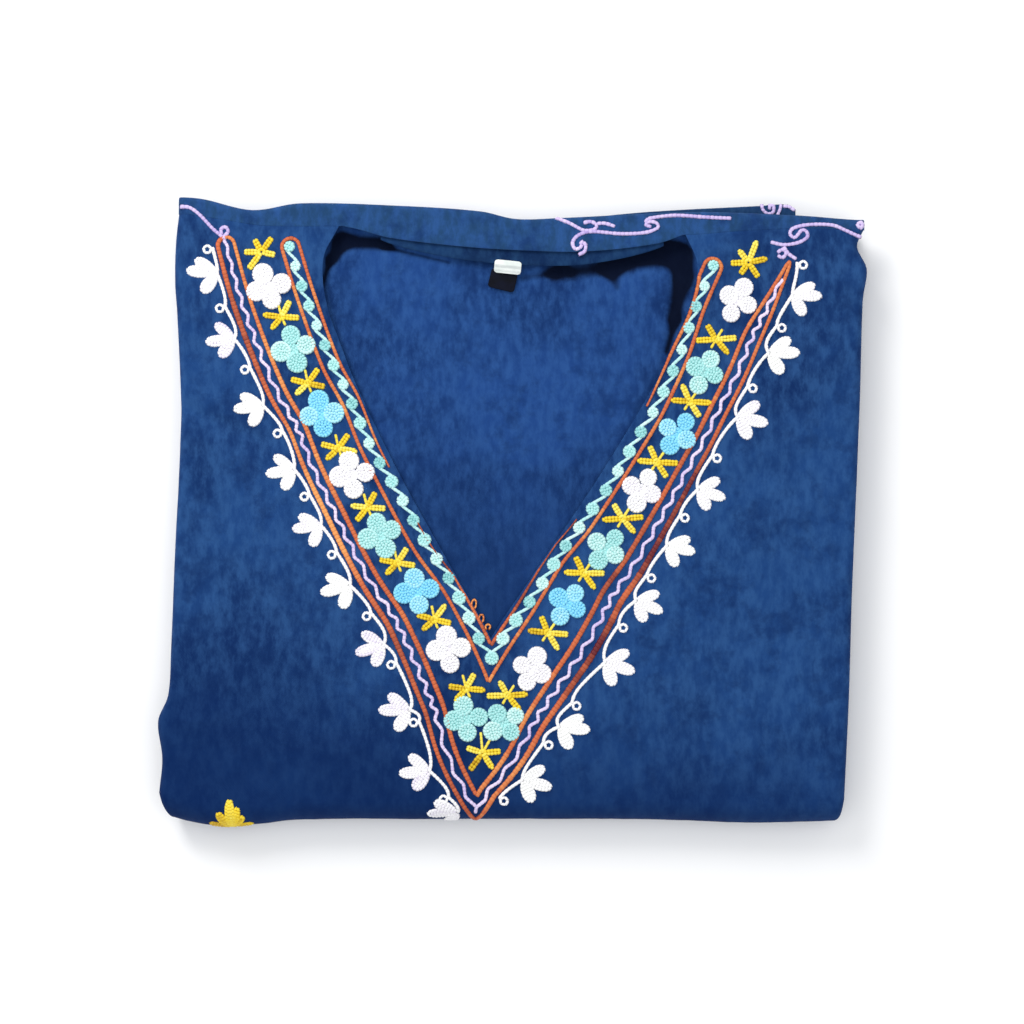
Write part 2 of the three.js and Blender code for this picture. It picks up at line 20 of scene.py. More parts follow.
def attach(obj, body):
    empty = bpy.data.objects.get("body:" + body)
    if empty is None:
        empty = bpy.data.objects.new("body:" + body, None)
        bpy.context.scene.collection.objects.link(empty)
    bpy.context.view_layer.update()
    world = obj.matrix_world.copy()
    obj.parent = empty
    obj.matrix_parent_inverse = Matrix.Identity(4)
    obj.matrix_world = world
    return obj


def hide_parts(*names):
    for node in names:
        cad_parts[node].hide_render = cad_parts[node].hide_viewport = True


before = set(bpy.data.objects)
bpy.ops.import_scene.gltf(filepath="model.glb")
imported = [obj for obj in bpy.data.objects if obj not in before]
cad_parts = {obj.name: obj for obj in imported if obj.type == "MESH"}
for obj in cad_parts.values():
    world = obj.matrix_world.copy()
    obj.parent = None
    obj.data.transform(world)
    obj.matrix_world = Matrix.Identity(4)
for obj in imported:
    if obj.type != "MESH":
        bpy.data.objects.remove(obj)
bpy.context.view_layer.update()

log = logging.getLogger("kaftan")

MM = 0.001
PLAN_SHIFT_X = 0.014  # from the plan's own middle to the parcel's
PLAN_SHIFT_Y = 1.014

Rows = tuple[tuple[float, float], ...]
Place = tuple[float, float]
Colour = tuple[float, float, float]
Piece = bpy.types.Object
Material = bpy.types.Material
NodeTree = bpy.types.NodeTree
Node = bpy.types.Node
Socket = bpy.types.NodeSocket
Mesh = bmesh.types.BMesh
Vert = bmesh.types.BMVert


def to_frame(point: Vector) -> Vector:
    """Turns a place in the plan into the frame of the solids, in metres."""
    return Vector((point.x + PLAN_SHIFT_X, point.y + PLAN_SHIFT_Y, point.z)) * MM


def lerp(start: float, end: float, share: float) -> float:
    """Mixes two numbers by a share."""
    return start + (end - start) * share


def smoothstep(value: float, low: float, high: float) -> float:
    """Rises smoothly from 0 at low to 1 at high."""
    share = min(max((value - low) / (high - low), 0.0), 1.0)
    return share * share * (3.0 - 2.0 * share)


def spread(start: float, end: float, count: int) -> list[float]:
    """Even places from start to end, both included, with count gaps."""
    return [lerp(start, end, k / count) for k in range(count + 1)]


@dataclass(frozen=True)
class Curve:
    """A smooth line through a few measured rows of place and value."""

    rows: Rows

    def at(self, place: float) -> float:
        """Reads the line at one place.

        Args:
            place: Where to read, in the rows' first column. Past the ends the end value holds.

        Returns:
            The value of the rows' second column there.
        """
        rows = self.rows
        last = len(rows) - 2
        i = 0
        while i < last and place > rows[i + 1][0]:
            i += 1
        (near, low), (far, high) = rows[i], rows[i + 1]
        span = far - near
        t = min(max((place - near) / span, 0.0), 1.0)
        near_pull = t * (1 - t) ** 2 * span * self._slope(i)
        far_pull = t * t * (t - 1) * span * self._slope(i + 1)
        return lerp(low, high, t * t * (3 - 2 * t)) + near_pull + far_pull

    def ends(self) -> Place:
        """The rows' first and last place."""
        return self.rows[0][0], self.rows[-1][0]

    def _slope(self, i: int) -> float:
        """Slope of the line at one row, from the rows beside it."""
        before = self.rows[max(i - 1, 0)]
        after = self.rows[min(i + 1, len(self.rows) - 1)]
        return (after[1] - before[1]) / (after[0] - before[0])


@dataclass(frozen=True)
class Crease:
    """One soft trough or ridge in cloth, from one point to another."""

    x0: float
    y0: float
    x1: float
    y1: float
    half: float  # half its width
    lift: float  # below zero for a trough

    def at(self, x: float, y: float) -> float:
        """How far the crease lifts the cloth at a place.

        Args:
            x: Place across the plan.
            y: Place along the plan.

        Returns:
            The lift in millimetres.
        """
        along_x, along_y = self.x1 - self.x0, self.y1 - self.y0
        length = math.hypot(along_x, along_y)
        along = ((x - self.x0) * along_x + (y - self.y0) * along_y) / length
        beside = ((x - self.x0) * along_y - (y - self.y0) * along_x) / length
        past = max(-along, along - length, 0.0)
        reach = (beside * beside + past * past) / (self.half * self.half)
        return self.lift * math.exp(-2.0 * reach) if reach < 6.0 else 0.0


@dataclass(frozen=True)
class Wrinkles:
    """The unevenness of one piece of cloth: listed creases, and a slow ripple."""

    creases: tuple[Crease, ...]
    ripple: float = 0.26  # height of the ripple
    across: float = 17.0  # size of a ripple across the cloth
    along: float = 52.0  # and along it, because the cloth was pressed along its length
    seed: float = 0.0

    def at(self, x: float, y: float) -> float:
        """How far the cloth stands above its smooth form at a place.

        Args:
            x: Place across the plan.
            y: Place along the cloth.

        Returns:
            The lift in millimetres.
        """
        place = Vector((x / self.across, y / self.along, self.seed))
        fine = Vector((x / self.across * 2.7, y / self.along * 4.6, self.seed + 9.0))
        ripple = self.ripple * (noise.noise(place) + 0.45 * noise.noise(fine))
        return ripple + sum(crease.at(x, y) for crease in self.creases)


def creases(*rows: tuple[float, ...]) -> tuple[Crease, ...]:
    """Creases from rows of the one end's x and y, the other's, half the width and the lift."""
    return tuple(Crease(*row) for row in rows)


# The largest folds of the face, which the solids have too.
FACE_FOLDS = creases(
    (-186, 60, -134, 37, 8, -1.5),
    (-186, 45, -140, 24, 9, 0.9),
    (-184, 16, -158, -4, 7, -1.0),
    (108, -30, 190, 22, 9, 0.9),
    (124, 14, 190, 42, 8, -0.8),
    (-140, 163, -98, 150, 8, -1.0),
    (112, 158, 188, 143, 8, -1.0),
    (-118, 140, -104, 118, 16, 1.6),
    (108, 136, 100, 108, 16, 1.8),
    (-188, -118, -160, -110, 10, 0.8),
    (-120, -158, 120, -152, 12, -0.7),
)


@dataclass(frozen=True)
class Parcel:
    """The folded parcel's form: its outline from above and the height of its top."""

    wall: float = 1.2
    gap: float = 0.4
    height: float = 24.8
    crown: float = 2.2
    top_packet_foot: float = 16.8
    under_packet: float = 6.0
    back_fold: float = 11.0
    apex_y: float = -68.9
    axis_lean: float = 0.052
    axis_foot_y: float = 150.0
    v_slope: float = 0.49
    left_side: Curve = Curve((
        (-172, -187.5), (-160.6, -191.2), (-135, -189.5), (-115, -191.7), (-99.6, -186.3),
        (-75, -184.7), (-21, -182.5), (33, -179.8), (60, -179.3), (108, -181.4), (124, -182.5),
        (146, -182), (170, -179.3),
    ))
    right_side: Curve = Curve((
        (-172, 179.2), (-102, 182.5), (-48, 184.1), (6, 186.3), (60, 188.5), (114, 190.1),
        (131, 192.2), (143, 187), (154, 191.2), (160, 190.8),
    ))
    lower_left: Curve = Curve(((-168, -184), (166, -178.2)))
    lower_right: Curve = Curve(((-168, 177), (166, 187.6)))
    bottom_end: Curve = Curve((
        (-192, -162), (-182, -167.5), (-160, -171.5), (-141, -170.9), (-114, -168.2),
        (-33, -168), (74, -168.2), (128, -169.8), (184, -168.6),
    ))
    top_fold: Curve = Curve((
        (-183, 170), (-168, 168.8), (-141, 162.8), (-115, 166.4), (-60, 165), (-17, 162),
        (2, 157.9), (26, 158.4), (100, 161.7), (155, 159.8), (187, 157.4), (193, 158),
    ))
    shoulder_seam: Curve = Curve((
        (-184, 161.5), (-155, 157), (-134, 154), (-93, 153.6), (94, 149), (120, 150.8),
        (150, 152.4), (193, 151.5),
    ))
    neck_half_width: Curve = Curve((
        (-68.9, 0), (-60, 5), (-45, 14.5), (-25, 27), (20, 54.5), (67, 80), (90, 90.2),
        (105, 96.5), (122, 100.6), (136, 100.6), (149, 94.8), (154, 92),
    ))
    back_neckline: Curve = Curve((
        (-93, 154), (-84, 152.2), (-66, 147.4), (-26, 142.6), (9, 140.4), (40, 140),
        (78, 144.2), (94, 149.5),
    ))

    def middle(self, y: float) -> float:
        """The garment's middle line, which leans a little in the plan."""
        return self.axis_lean * (y - self.axis_foot_y)

    def neck_reach(self, y: float) -> float:
        """Half the V's width, carried on below its point as a negative width."""
        return self.neck_half_width.at(y) if y > self.apex_y else self.v_slope * (y - self.apex_y)

    def top_height(self, x: float, y: float) -> float:
        """Height of the parcel's top, largest folds included.

        Args:
            x: Place across the plan.
            y: Place along the plan.

        Returns:
            The height above the table.
        """
        across = max(1 - abs(x / 190) ** 3, 0.0)
        along = max(1 - abs((y + 4) / 168) ** 3, 0.0)
        folds = sum(fold.at(x, y) for fold in FACE_FOLDS)
        return self.height + self.crown * across * along + folds

    def air(self, y: float) -> float:
        """Air between the front and the back's inside, which opens towards the neck."""
        return lerp(0.5, 4.2, smoothstep(y, -60, 130))

    def bottom_radius(self, x: float) -> float:
        """Radius of the fold at the bottom end."""
        return self.top_height(x, self.bottom_end.at(x) + self.height / 2) / 2

    def fold_start(self, x: float) -> float:
        """Where the face ends and the bottom fold begins."""
        return self.bottom_end.at(x) + self.bottom_radius(x)

    def back_start(self, x: float) -> float:
        """Where the underside ends and the closing fold at the neck end begins."""
        return self.top_fold.at(x) - 3 - self.back_fold / 2


PARCEL = Parcel()


class Zone(Enum):
    """The stretches of a folded panel, in the order in which they follow each other."""

    UPPER = "beside the V"
    LOWER = "below the V"
    FOLD = "round the end fold"
    UNDER = "on the table"
    BACK = "round the closing fold"
    TUCK = "turned in"
    YOKE = "above the back neckline"
    INSIDE = "seen through the V"


class Strip(Enum):
    """The stretches of the front from its side fold to the V."""

    TUCK = "turned under"
    WRAP = "round the side fold"
    FACE = "plain cloth"
    BAND = "embroidered band"


@dataclass(frozen=True)
class Row:
    """One row of a panel's grid."""

    zone: Zone
    share: float


@dataclass(frozen=True)
class Column:
    """One column of the front's grid."""

    side: int
    strip: Strip
    share: float


GridPlace = Callable[[int, int], tuple[Vector, Place]]


def cloth_grid(rows: int, columns: int, place: GridPlace) -> Mesh:
    """Lays a grid of cloth on a form, with a map of the flat cloth in metres.

    Args:
        rows: Gaps between the grid's rows.
        columns: Gaps between its columns.
        place: Gives each crossing's point in the plan, and its place on the flat cloth.

    Returns:
        The cloth's outside, whose vertices know their row and column.
    """
    cloth = bmesh.new()
    row_of = cloth.verts.layers.int.new("row")
    column_of = cloth.verts.layers.int.new("column")
    bmesh.ops.create_grid(cloth, x_segments=columns, y_segments=rows, size=1.0)
    flat: dict[Vert, Place] = {}
    for vert in cloth.verts:
        i = round((vert.co.y + 1) / 2 * rows)
        j = round((vert.co.x + 1) / 2 * columns)
        vert[row_of], vert[column_of] = i, j
        point, flat[vert] = place(i, j)
        vert.co = to_frame(point)
    uv = cloth.loops.layers.uv.new("Cloth")
    for face in cloth.faces:
        for loop in face.loops:
            u, v = flat[loop.vert]
            loop[uv].uv = (u * MM, v * MM)
    return cloth


def face_up(cloth: Mesh, zone_rows: range) -> None:
    """Turns all faces over where those of the given rows look down.

    Args:
        cloth: A grid from cloth_grid.
        zone_rows: Rows of the grid that have to face up.
    """
    row_of = cloth.verts.layers.int["row"]
    cloth.normal_update()
    facing = sum(face.normal.z for face in cloth.faces if face.verts[0][row_of] in zone_rows)
    if facing < 0:
        bmesh.ops.reverse_faces(cloth, faces=cloth.faces[:])


def put_in_scene(name: str, data: bpy.types.Mesh, material: Material) -> Piece:
    """Makes a smooth-shaded object of mesh data and gives it its material.

    Args:
        name: The piece's name.
        data: Its mesh.
        material: Its finish.

    Returns:
        The object, in the scene.
    """
    data.materials.append(material)
    data.shade_smooth()
    piece = bpy.data.objects.new(name, data)
    bpy.context.scene.collection.objects.link(piece)
    return piece


def finished(name: str, shape: Mesh, material: Material) -> Piece:
    """Turns an edited mesh into a finished object.

    Args:
        name: The piece's name.
        shape: Its mesh, which is used up.
        material: Its finish.

    Returns:
        The object, in the scene.
    """
    data = bpy.data.meshes.new(name)
    shape.to_mesh(data)
    shape.free()
    return put_in_scene(name, data, material)


def thicken(piece: Piece, wall: float, rounding: float = 0.0) -> None:
    """Gives cloth its wall, inwards from its outside, with softly rounded cut edges.

    Args:
        piece: The cloth's outside as a grid.
        wall: Thickness in millimetres.
        rounding: Rounding of the rim in millimetres, or 0 for none.
    """
    solid = piece.modifiers.new("Wall", "SOLIDIFY")
    solid.thickness = wall * MM
    solid.offset = -1.0
    solid.use_even_offset = True
    if rounding > 0:
        bevel = piece.modifiers.new("Rim", "BEVEL")
        bevel.width = rounding * MM
        bevel.segments = 2
        bevel.limit_method = "ANGLE"
        bevel.angle_limit = math.radians(62)


def report(piece: Piece) -> None:
    """Writes a line on one finished piece to the log."""
    log.info("%s: %d faces", piece.name, len(piece.data.polygons))


def srgb(red: int, green: int, blue: int) -> Colour:
    """Turns a colour of 0 to 255 steps into linear light."""
    return tuple(c / 3294.6 if c <= 10 else ((c / 255 + 0.055) / 1.055) ** 2.4 for c in (red, green, blue))


class Graph:
    """Places and links shader nodes in a material or a node group."""

    def __init__(self, tree: NodeTree) -> None:
        """Starts on an empty tree."""
        self.tree = tree

    def node(self, kind: str, inputs: dict[str | int, object] | None = None, **settings: object) -> Node:
        """Adds one node.

        Args:
            kind: The node's type without its Shader prefix.
            inputs: Values or sockets for its inputs, by name or number.
            **settings: The node's own properties.

        Returns:
            The new node.
        """
        made = self.tree.nodes.new(kind if kind.startswith("Node") else "ShaderNode" + kind)
        for key, value in settings.items():
            setattr(made, key, value)
        self.fill(made, inputs or {})
        return made

    def fill(self, node: Node, inputs: dict[str | int, object]) -> None:
        """Gives a node's inputs their values, or links them where the value is a socket.

        Args:
            node: The node.
            inputs: The values, by the input's name or number.
        """
        for key, value in inputs.items():
            if isinstance(value, Socket):
                self.tree.links.new(value, node.inputs[key])
            else:
                node.inputs[key].default_value = value

    def math(self, operation: str, first: object, second: object = 0.0) -> Socket:
        """Adds a Math node and gives its output."""
        return self.node("Math", {0: first, 1: second}, operation=operation).outputs[0]

    def scaled_sum(self, value: Socket, factor: float, addend: object) -> Socket:
        """Scales a value and adds another to it."""
        return self.node("Math", {0: value, 1: factor, 2: addend}, operation="MULTIPLY_ADD").outputs[0]

    def bump(self, height: Socket, strength: float, distance: float, **under: Socket) -> Socket:
        """Adds relief from a height, over another relief that is given as Normal."""
        relief = {"Height": height, "Strength": strength, "Distance": distance}
        return self.node("Bump", {**relief, **under}).outputs[0]

    def mix(self, share: object, first: object, second: object) -> Socket:
        """Mixes two colours by a share and gives the output."""
        colours = [(*c, 1.0) if isinstance(c, tuple) else c for c in (first, second)]
        mixed = self.node("Mix", {0: share, 6: colours[0], 7: colours[1]}, data_type="RGBA")
        return mixed.outputs[2]

    def ramp(self, value: Socket, low: float, high: float) -> Socket:
        """Stretches a value between two bounds to 0 and 1, smoothly."""
        made = self.node("MapRange", {"Value": value, 1: low, 2: high}, interpolation_type="SMOOTHSTEP")
        return made.outputs[0]


def new_group(name: str, inputs: dict[str, str], outputs: Sequence[str]) -> tuple[Graph, Node, Node]:
    """Starts a shader node group with named sockets.

    Args:
        name: The group's name.
        inputs: Kind of socket by name, such as NodeSocketFloat.
        outputs: Names of the numbers that the group puts out.

    Returns:
        The group's graph, its input node and its output node.
    """
    tree = bpy.data.node_groups.new(name, "ShaderNodeTree")
    for key, kind in inputs.items():
        tree.interface.new_socket(name=key, in_out="INPUT", socket_type=kind)
    for key in outputs:
        tree.interface.new_socket(name=key, in_out="OUTPUT", socket_type="NodeSocketFloat")
    graph = Graph(tree)
    return graph, graph.node("NodeGroupInput"), graph.node("NodeGroupOutput")


def weave_group() -> NodeTree:
    """Plain weave: warp and weft threads that pass over each other in turn.

    Returns:
        A group that takes a flat cloth place and puts out a height and a tone.
    """
    graph, inside, out = new_group(
        "plain weave",
        {"Place": "NodeSocketVector", "Threads": "NodeSocketFloat"},
        ("Height", "Tone"),
    )
    scaled = {0: inside.outputs["Place"], "Scale": inside.outputs["Threads"]}
    place = graph.node("VectorMath", scaled, operation="SCALE")
    part = graph.node("SeparateXYZ", {0: place.outputs[0]})
    waves = [graph.math("SINE", graph.math("MULTIPLY", part.outputs[k], math.tau)) for k in (0, 1)]
    over = graph.math("MULTIPLY", waves[0], waves[1])
    slub = graph.node("TexNoise", {"Vector": place.outputs[0], "Scale": 0.09, "Detail": 2.0})
    graph.fill(out, {"Height": graph.scaled_sum(slub.outputs[0], 1.6, over), "Tone": slub.outputs[0]})
    return graph.tree


def nap_group() -> NodeTree:
    """Mottle of a washed and pressed nap: short streaks along the cloth over slow cloudy patches.

    Returns:
        A group that takes a place in metres and puts out four kinds of unevenness, each about 0.5.
    """
    names = ("Streaks", "Blotches", "Clouds", "Creasing")
    graph, inside, out = new_group("brushed nap", {"Place": "NodeSocketVector"}, names)
    place = inside.outputs["Place"]
    long_way = graph.node("Mapping", {"Vector": place, "Scale": (210.0, 95.0, 90.0)})
    bent = graph.node("Mapping", {"Vector": place, "Scale": (46.0, 30.0, 30.0), "Rotation": (0.0, 0.0, 0.5)})
    textures = (
        {"Vector": long_way.outputs[0], "Scale": 1.0, "Detail": 6.0, "Roughness": 0.66},
        {"Vector": place, "Scale": 64.0, "Detail": 6.0, "Roughness": 0.68},
        {"Vector": place, "Scale": 19.0, "Detail": 4.0},
        {"Vector": bent.outputs[0], "Scale": 1.0, "Detail": 6.0, "Distortion": 0.8},
    )
    graph.fill(out, {name: graph.node("TexNoise", row).outputs[0] for name, row in zip(names, textures)})
    return graph.tree


def new_finish(name: str) -> tuple[Material, Graph, Node]:
    """Starts a material and gives its graph and its Principled node with it."""
    made = bpy.data.materials.new(name)
    made.use_nodes = True
    return made, Graph(made.node_tree), made.node_tree.nodes["Principled BSDF"]


@dataclass(frozen=True)
class Cotton:
    """Soft navy cotton with a pressed nap, with painted shade towards the bottom and in the neck's hollows.
    """

    name: str
    deep: Colour
    plain: Colour
    worn: Colour
    foot: Colour | None = None  # painted shade: colour further down, darker as less light reaches the bottom
    foot_shade_reach: tuple[float, float] = (-0.055, -0.165)  # where along the parcel that painted shade begins and ends
    foot_shade_share: float = 0.8
    foot_shade_lean: float = 0.0  # how much farther down it lies on the right
    yoke: Colour | None = None  # colour of the yoke, on a piece that has one
    yoke_end: float = 0.1725  # where the yoke ends, in metres along the flat cloth
    hollow_and_painted_shade: Colour = (0.0012, 0.003, 0.0125)  # painted shade: near-black colour mixed in where the neck's hollows lie in shadow
    roughness: float = 0.9
    threads: float = 1150.0  # to the metre, so that it shows from near

    def material(self, weave: NodeTree, nap: NodeTree) -> Material:
        """Builds the finish.

        Args:
            weave: The group from weave_group.
            nap: The group from nap_group.

        Returns:
            The material, which reads the piece's own map and Object coordinates.
        """
        made, graph, shader = new_finish(self.name)
        at = graph.node("TexCoord")
        flat = graph.node("UVMap", uv_map="Cloth")
        threads = graph.node("Group", {"Place": flat.outputs[0], "Threads": self.threads}, node_tree=weave)
        brushed = graph.node("Group", {"Place": at.outputs["Object"]}, node_tree=nap)
        streaks = graph.ramp(brushed.outputs["Streaks"], 0.33, 0.68)
        clouds = graph.ramp(brushed.outputs["Clouds"], 0.36, 0.64)
        blotches = graph.ramp(brushed.outputs["Blotches"], 0.46, 0.72)
        base = graph.mix(clouds, self.deep, self.plain)
        if self.yoke is not None:
            length = graph.node("SeparateXYZ", {0: flat.outputs[0]}).outputs[1]
            on_yoke = graph.math("LESS_THAN", length, self.yoke_end)
            base = graph.mix(on_yoke, base, self.yoke)
        base = graph.mix(graph.math("MULTIPLY", streaks, 0.75), base, self.worn)
        base = graph.mix(graph.math("MULTIPLY", blotches, 0.75), base, self.deep)
        # Painted shade: darker towards the bottom, where less light falls, with a ragged edge from the clouds
        if self.foot is not None:
            place = graph.node("SeparateXYZ", {0: at.outputs["Object"]})
            rough_edge = graph.scaled_sum(clouds, 0.018, place.outputs[1])
            leant = graph.scaled_sum(place.outputs[0], self.foot_shade_lean, rough_edge)
            towards_foot_shade = graph.math("MULTIPLY", graph.ramp(leant, *self.foot_shade_reach), self.foot_shade_share)
            base = graph.mix(towards_foot_shade, base, self.foot)
        # Painted shade: near-black in the neck's hollows, by the mask that the back panel stores on its
        # inside
        sunk = graph.node("Attribute", attribute_name="hollow_and_painted_shade").outputs["Fac"]
        uneven = graph.scaled_sum(blotches, 0.12, sunk)
        base = graph.mix(graph.math("MULTIPLY", graph.ramp(uneven, 0.24, 0.82), 0.97), base, self.hollow_and_painted_shade)
        grain = graph.bump(threads.outputs["Height"], 0.35, 0.0003)
        graph.fill(shader, {
            "Base Color": base,
            "Roughness": graph.scaled_sum(streaks, -0.08, self.roughness),
            "Sheen Weight": 0.02,
            "Sheen Roughness": 0.5,
            "Specular IOR Level": 0.06,
            "Normal": graph.bump(brushed.outputs["Creasing"], 0.55, 0.002, Normal=grain),
        })
        return made


@dataclass(frozen=True)
class Thread:
    """Twisted embroidery thread in one colour, which changes a little from stitch to stitch."""

    name: str
    pale: Colour
    full: Colour
    dark: Colour
    roughness: float = 0.5
    twists: float = 5.0  # turns of the twist along one stitch

    def material(self) -> Material:
        """Builds the finish.

        Returns:
            The material, which reads each stitch's own map and its tone.
        """
        made, graph, shader = new_finish(self.name)
        tone = graph.node("Attribute", attribute_name="tone").outputs["Fac"]
        lower = graph.ramp(tone, 0.0, 0.5)
        upper = graph.ramp(tone, 0.5, 1.0)
        base = graph.mix(upper, graph.mix(lower, self.dark, self.full), self.pale)
        flat = graph.node("UVMap", uv_map="Stitch")
        part = graph.node("SeparateXYZ", {0: flat.outputs[0]})
        across = graph.math("ABSOLUTE", graph.math("SUBTRACT", part.outputs[0], 0.5))
        slant = graph.math("ADD", graph.math("MULTIPLY", across, 1.4), part.outputs[1])
        strands = graph.math("SINE", graph.math("MULTIPLY", slant, self.twists * math.tau))
        # Painted shade: the thread is a little darker along the groove between its two strands
        groove = graph.ramp(across, 0.0, 0.10)
        base = graph.mix(groove, graph.mix(0.08, base, self.dark), base)
        graph.fill(shader, {
            "Base Color": base,
            "Roughness": self.roughness,
            "Specular IOR Level": 0.3,
            "Normal": graph.bump(strands, 0.25, 0.0001),
        })
        return made


@dataclass(frozen=True)
class Tape:
    """Woven label tape."""

    name: str
    full: Colour
    shaded: Colour
    roughness: float = 0.62
    threads: float = 1600.0  # to the metre

    def material(self, weave: NodeTree) -> Material:
        """Builds the finish.

        Args:
            weave: The group from weave_group.

        Returns:
            The material, which reads the label's own map.
        """
        made, graph, shader = new_finish(self.name)
        flat = graph.node("UVMap", uv_map="Cloth")
        threads = graph.node("Group", {"Place": flat.outputs[0], "Threads": self.threads}, node_tree=weave)
        tone = graph.ramp(threads.outputs["Tone"], 0.3, 0.7)
        graph.fill(shader, {
            "Base Color": graph.mix(tone, self.shaded, self.full),
            "Roughness": self.roughness,
            "Specular IOR Level": 0.1,
            "Normal": graph.bump(threads.outputs["Height"], 0.35, 0.0002),
        })
        return made


FRONT_CREASES = creases(
    (-184, 58, -136, 38, 5, -0.8),
    (-182, 92, -150, 84, 5, -0.35),
    (-176, 76, -128, 70, 6, 0.3),
    (-178, -40, -120, -62, 7, -0.35),
    (-182, -66, -96, -84, 8, 0.4),
    (-186, -92, -120, -108, 6, -0.4),
    (-150, -120, -60, -132, 9, 0.35),
    (-120, -20, -84, -60, 8, 0.3),
    (60, -60, 150, -92, 9, 0.4),
    (84, -112, 176, -128, 7, -0.35),
    (110, -4, 182, -24, 6, -0.4),
    (132, 66, 186, 84, 7, 0.45),
    (146, 96, 188, 112, 5, -0.4),
    (150, 112, 190, 128, 6, 0.35),
    (20, -128, 64, -150, 7, 0.3),
    (-34, -138, -8, -160, 6, -0.25),
    (156, -70, 182, -88, 5, -0.4),
)
INSIDE_CREASES = creases(
    (-74, 118, -38, 60, 9, 0.5),
    (-56, 128, -30, 96, 6, -0.45),
    (-30, 34, 40, 10, 8, 0.4),
    (-52, 50, -6, 22, 7, -0.4),
    (6, 96, 62, 74, 10, 0.5),
    (30, 122, 84, 108, 7, -0.5),
    (44, 60, 70, 30, 6, 0.4),
    (-12, -4, 26, -34, 7, 0.35),
    (62, 132, 92, 118, 6, 0.6),
    (-88, 132, -64, 112, 7, -0.5),
)


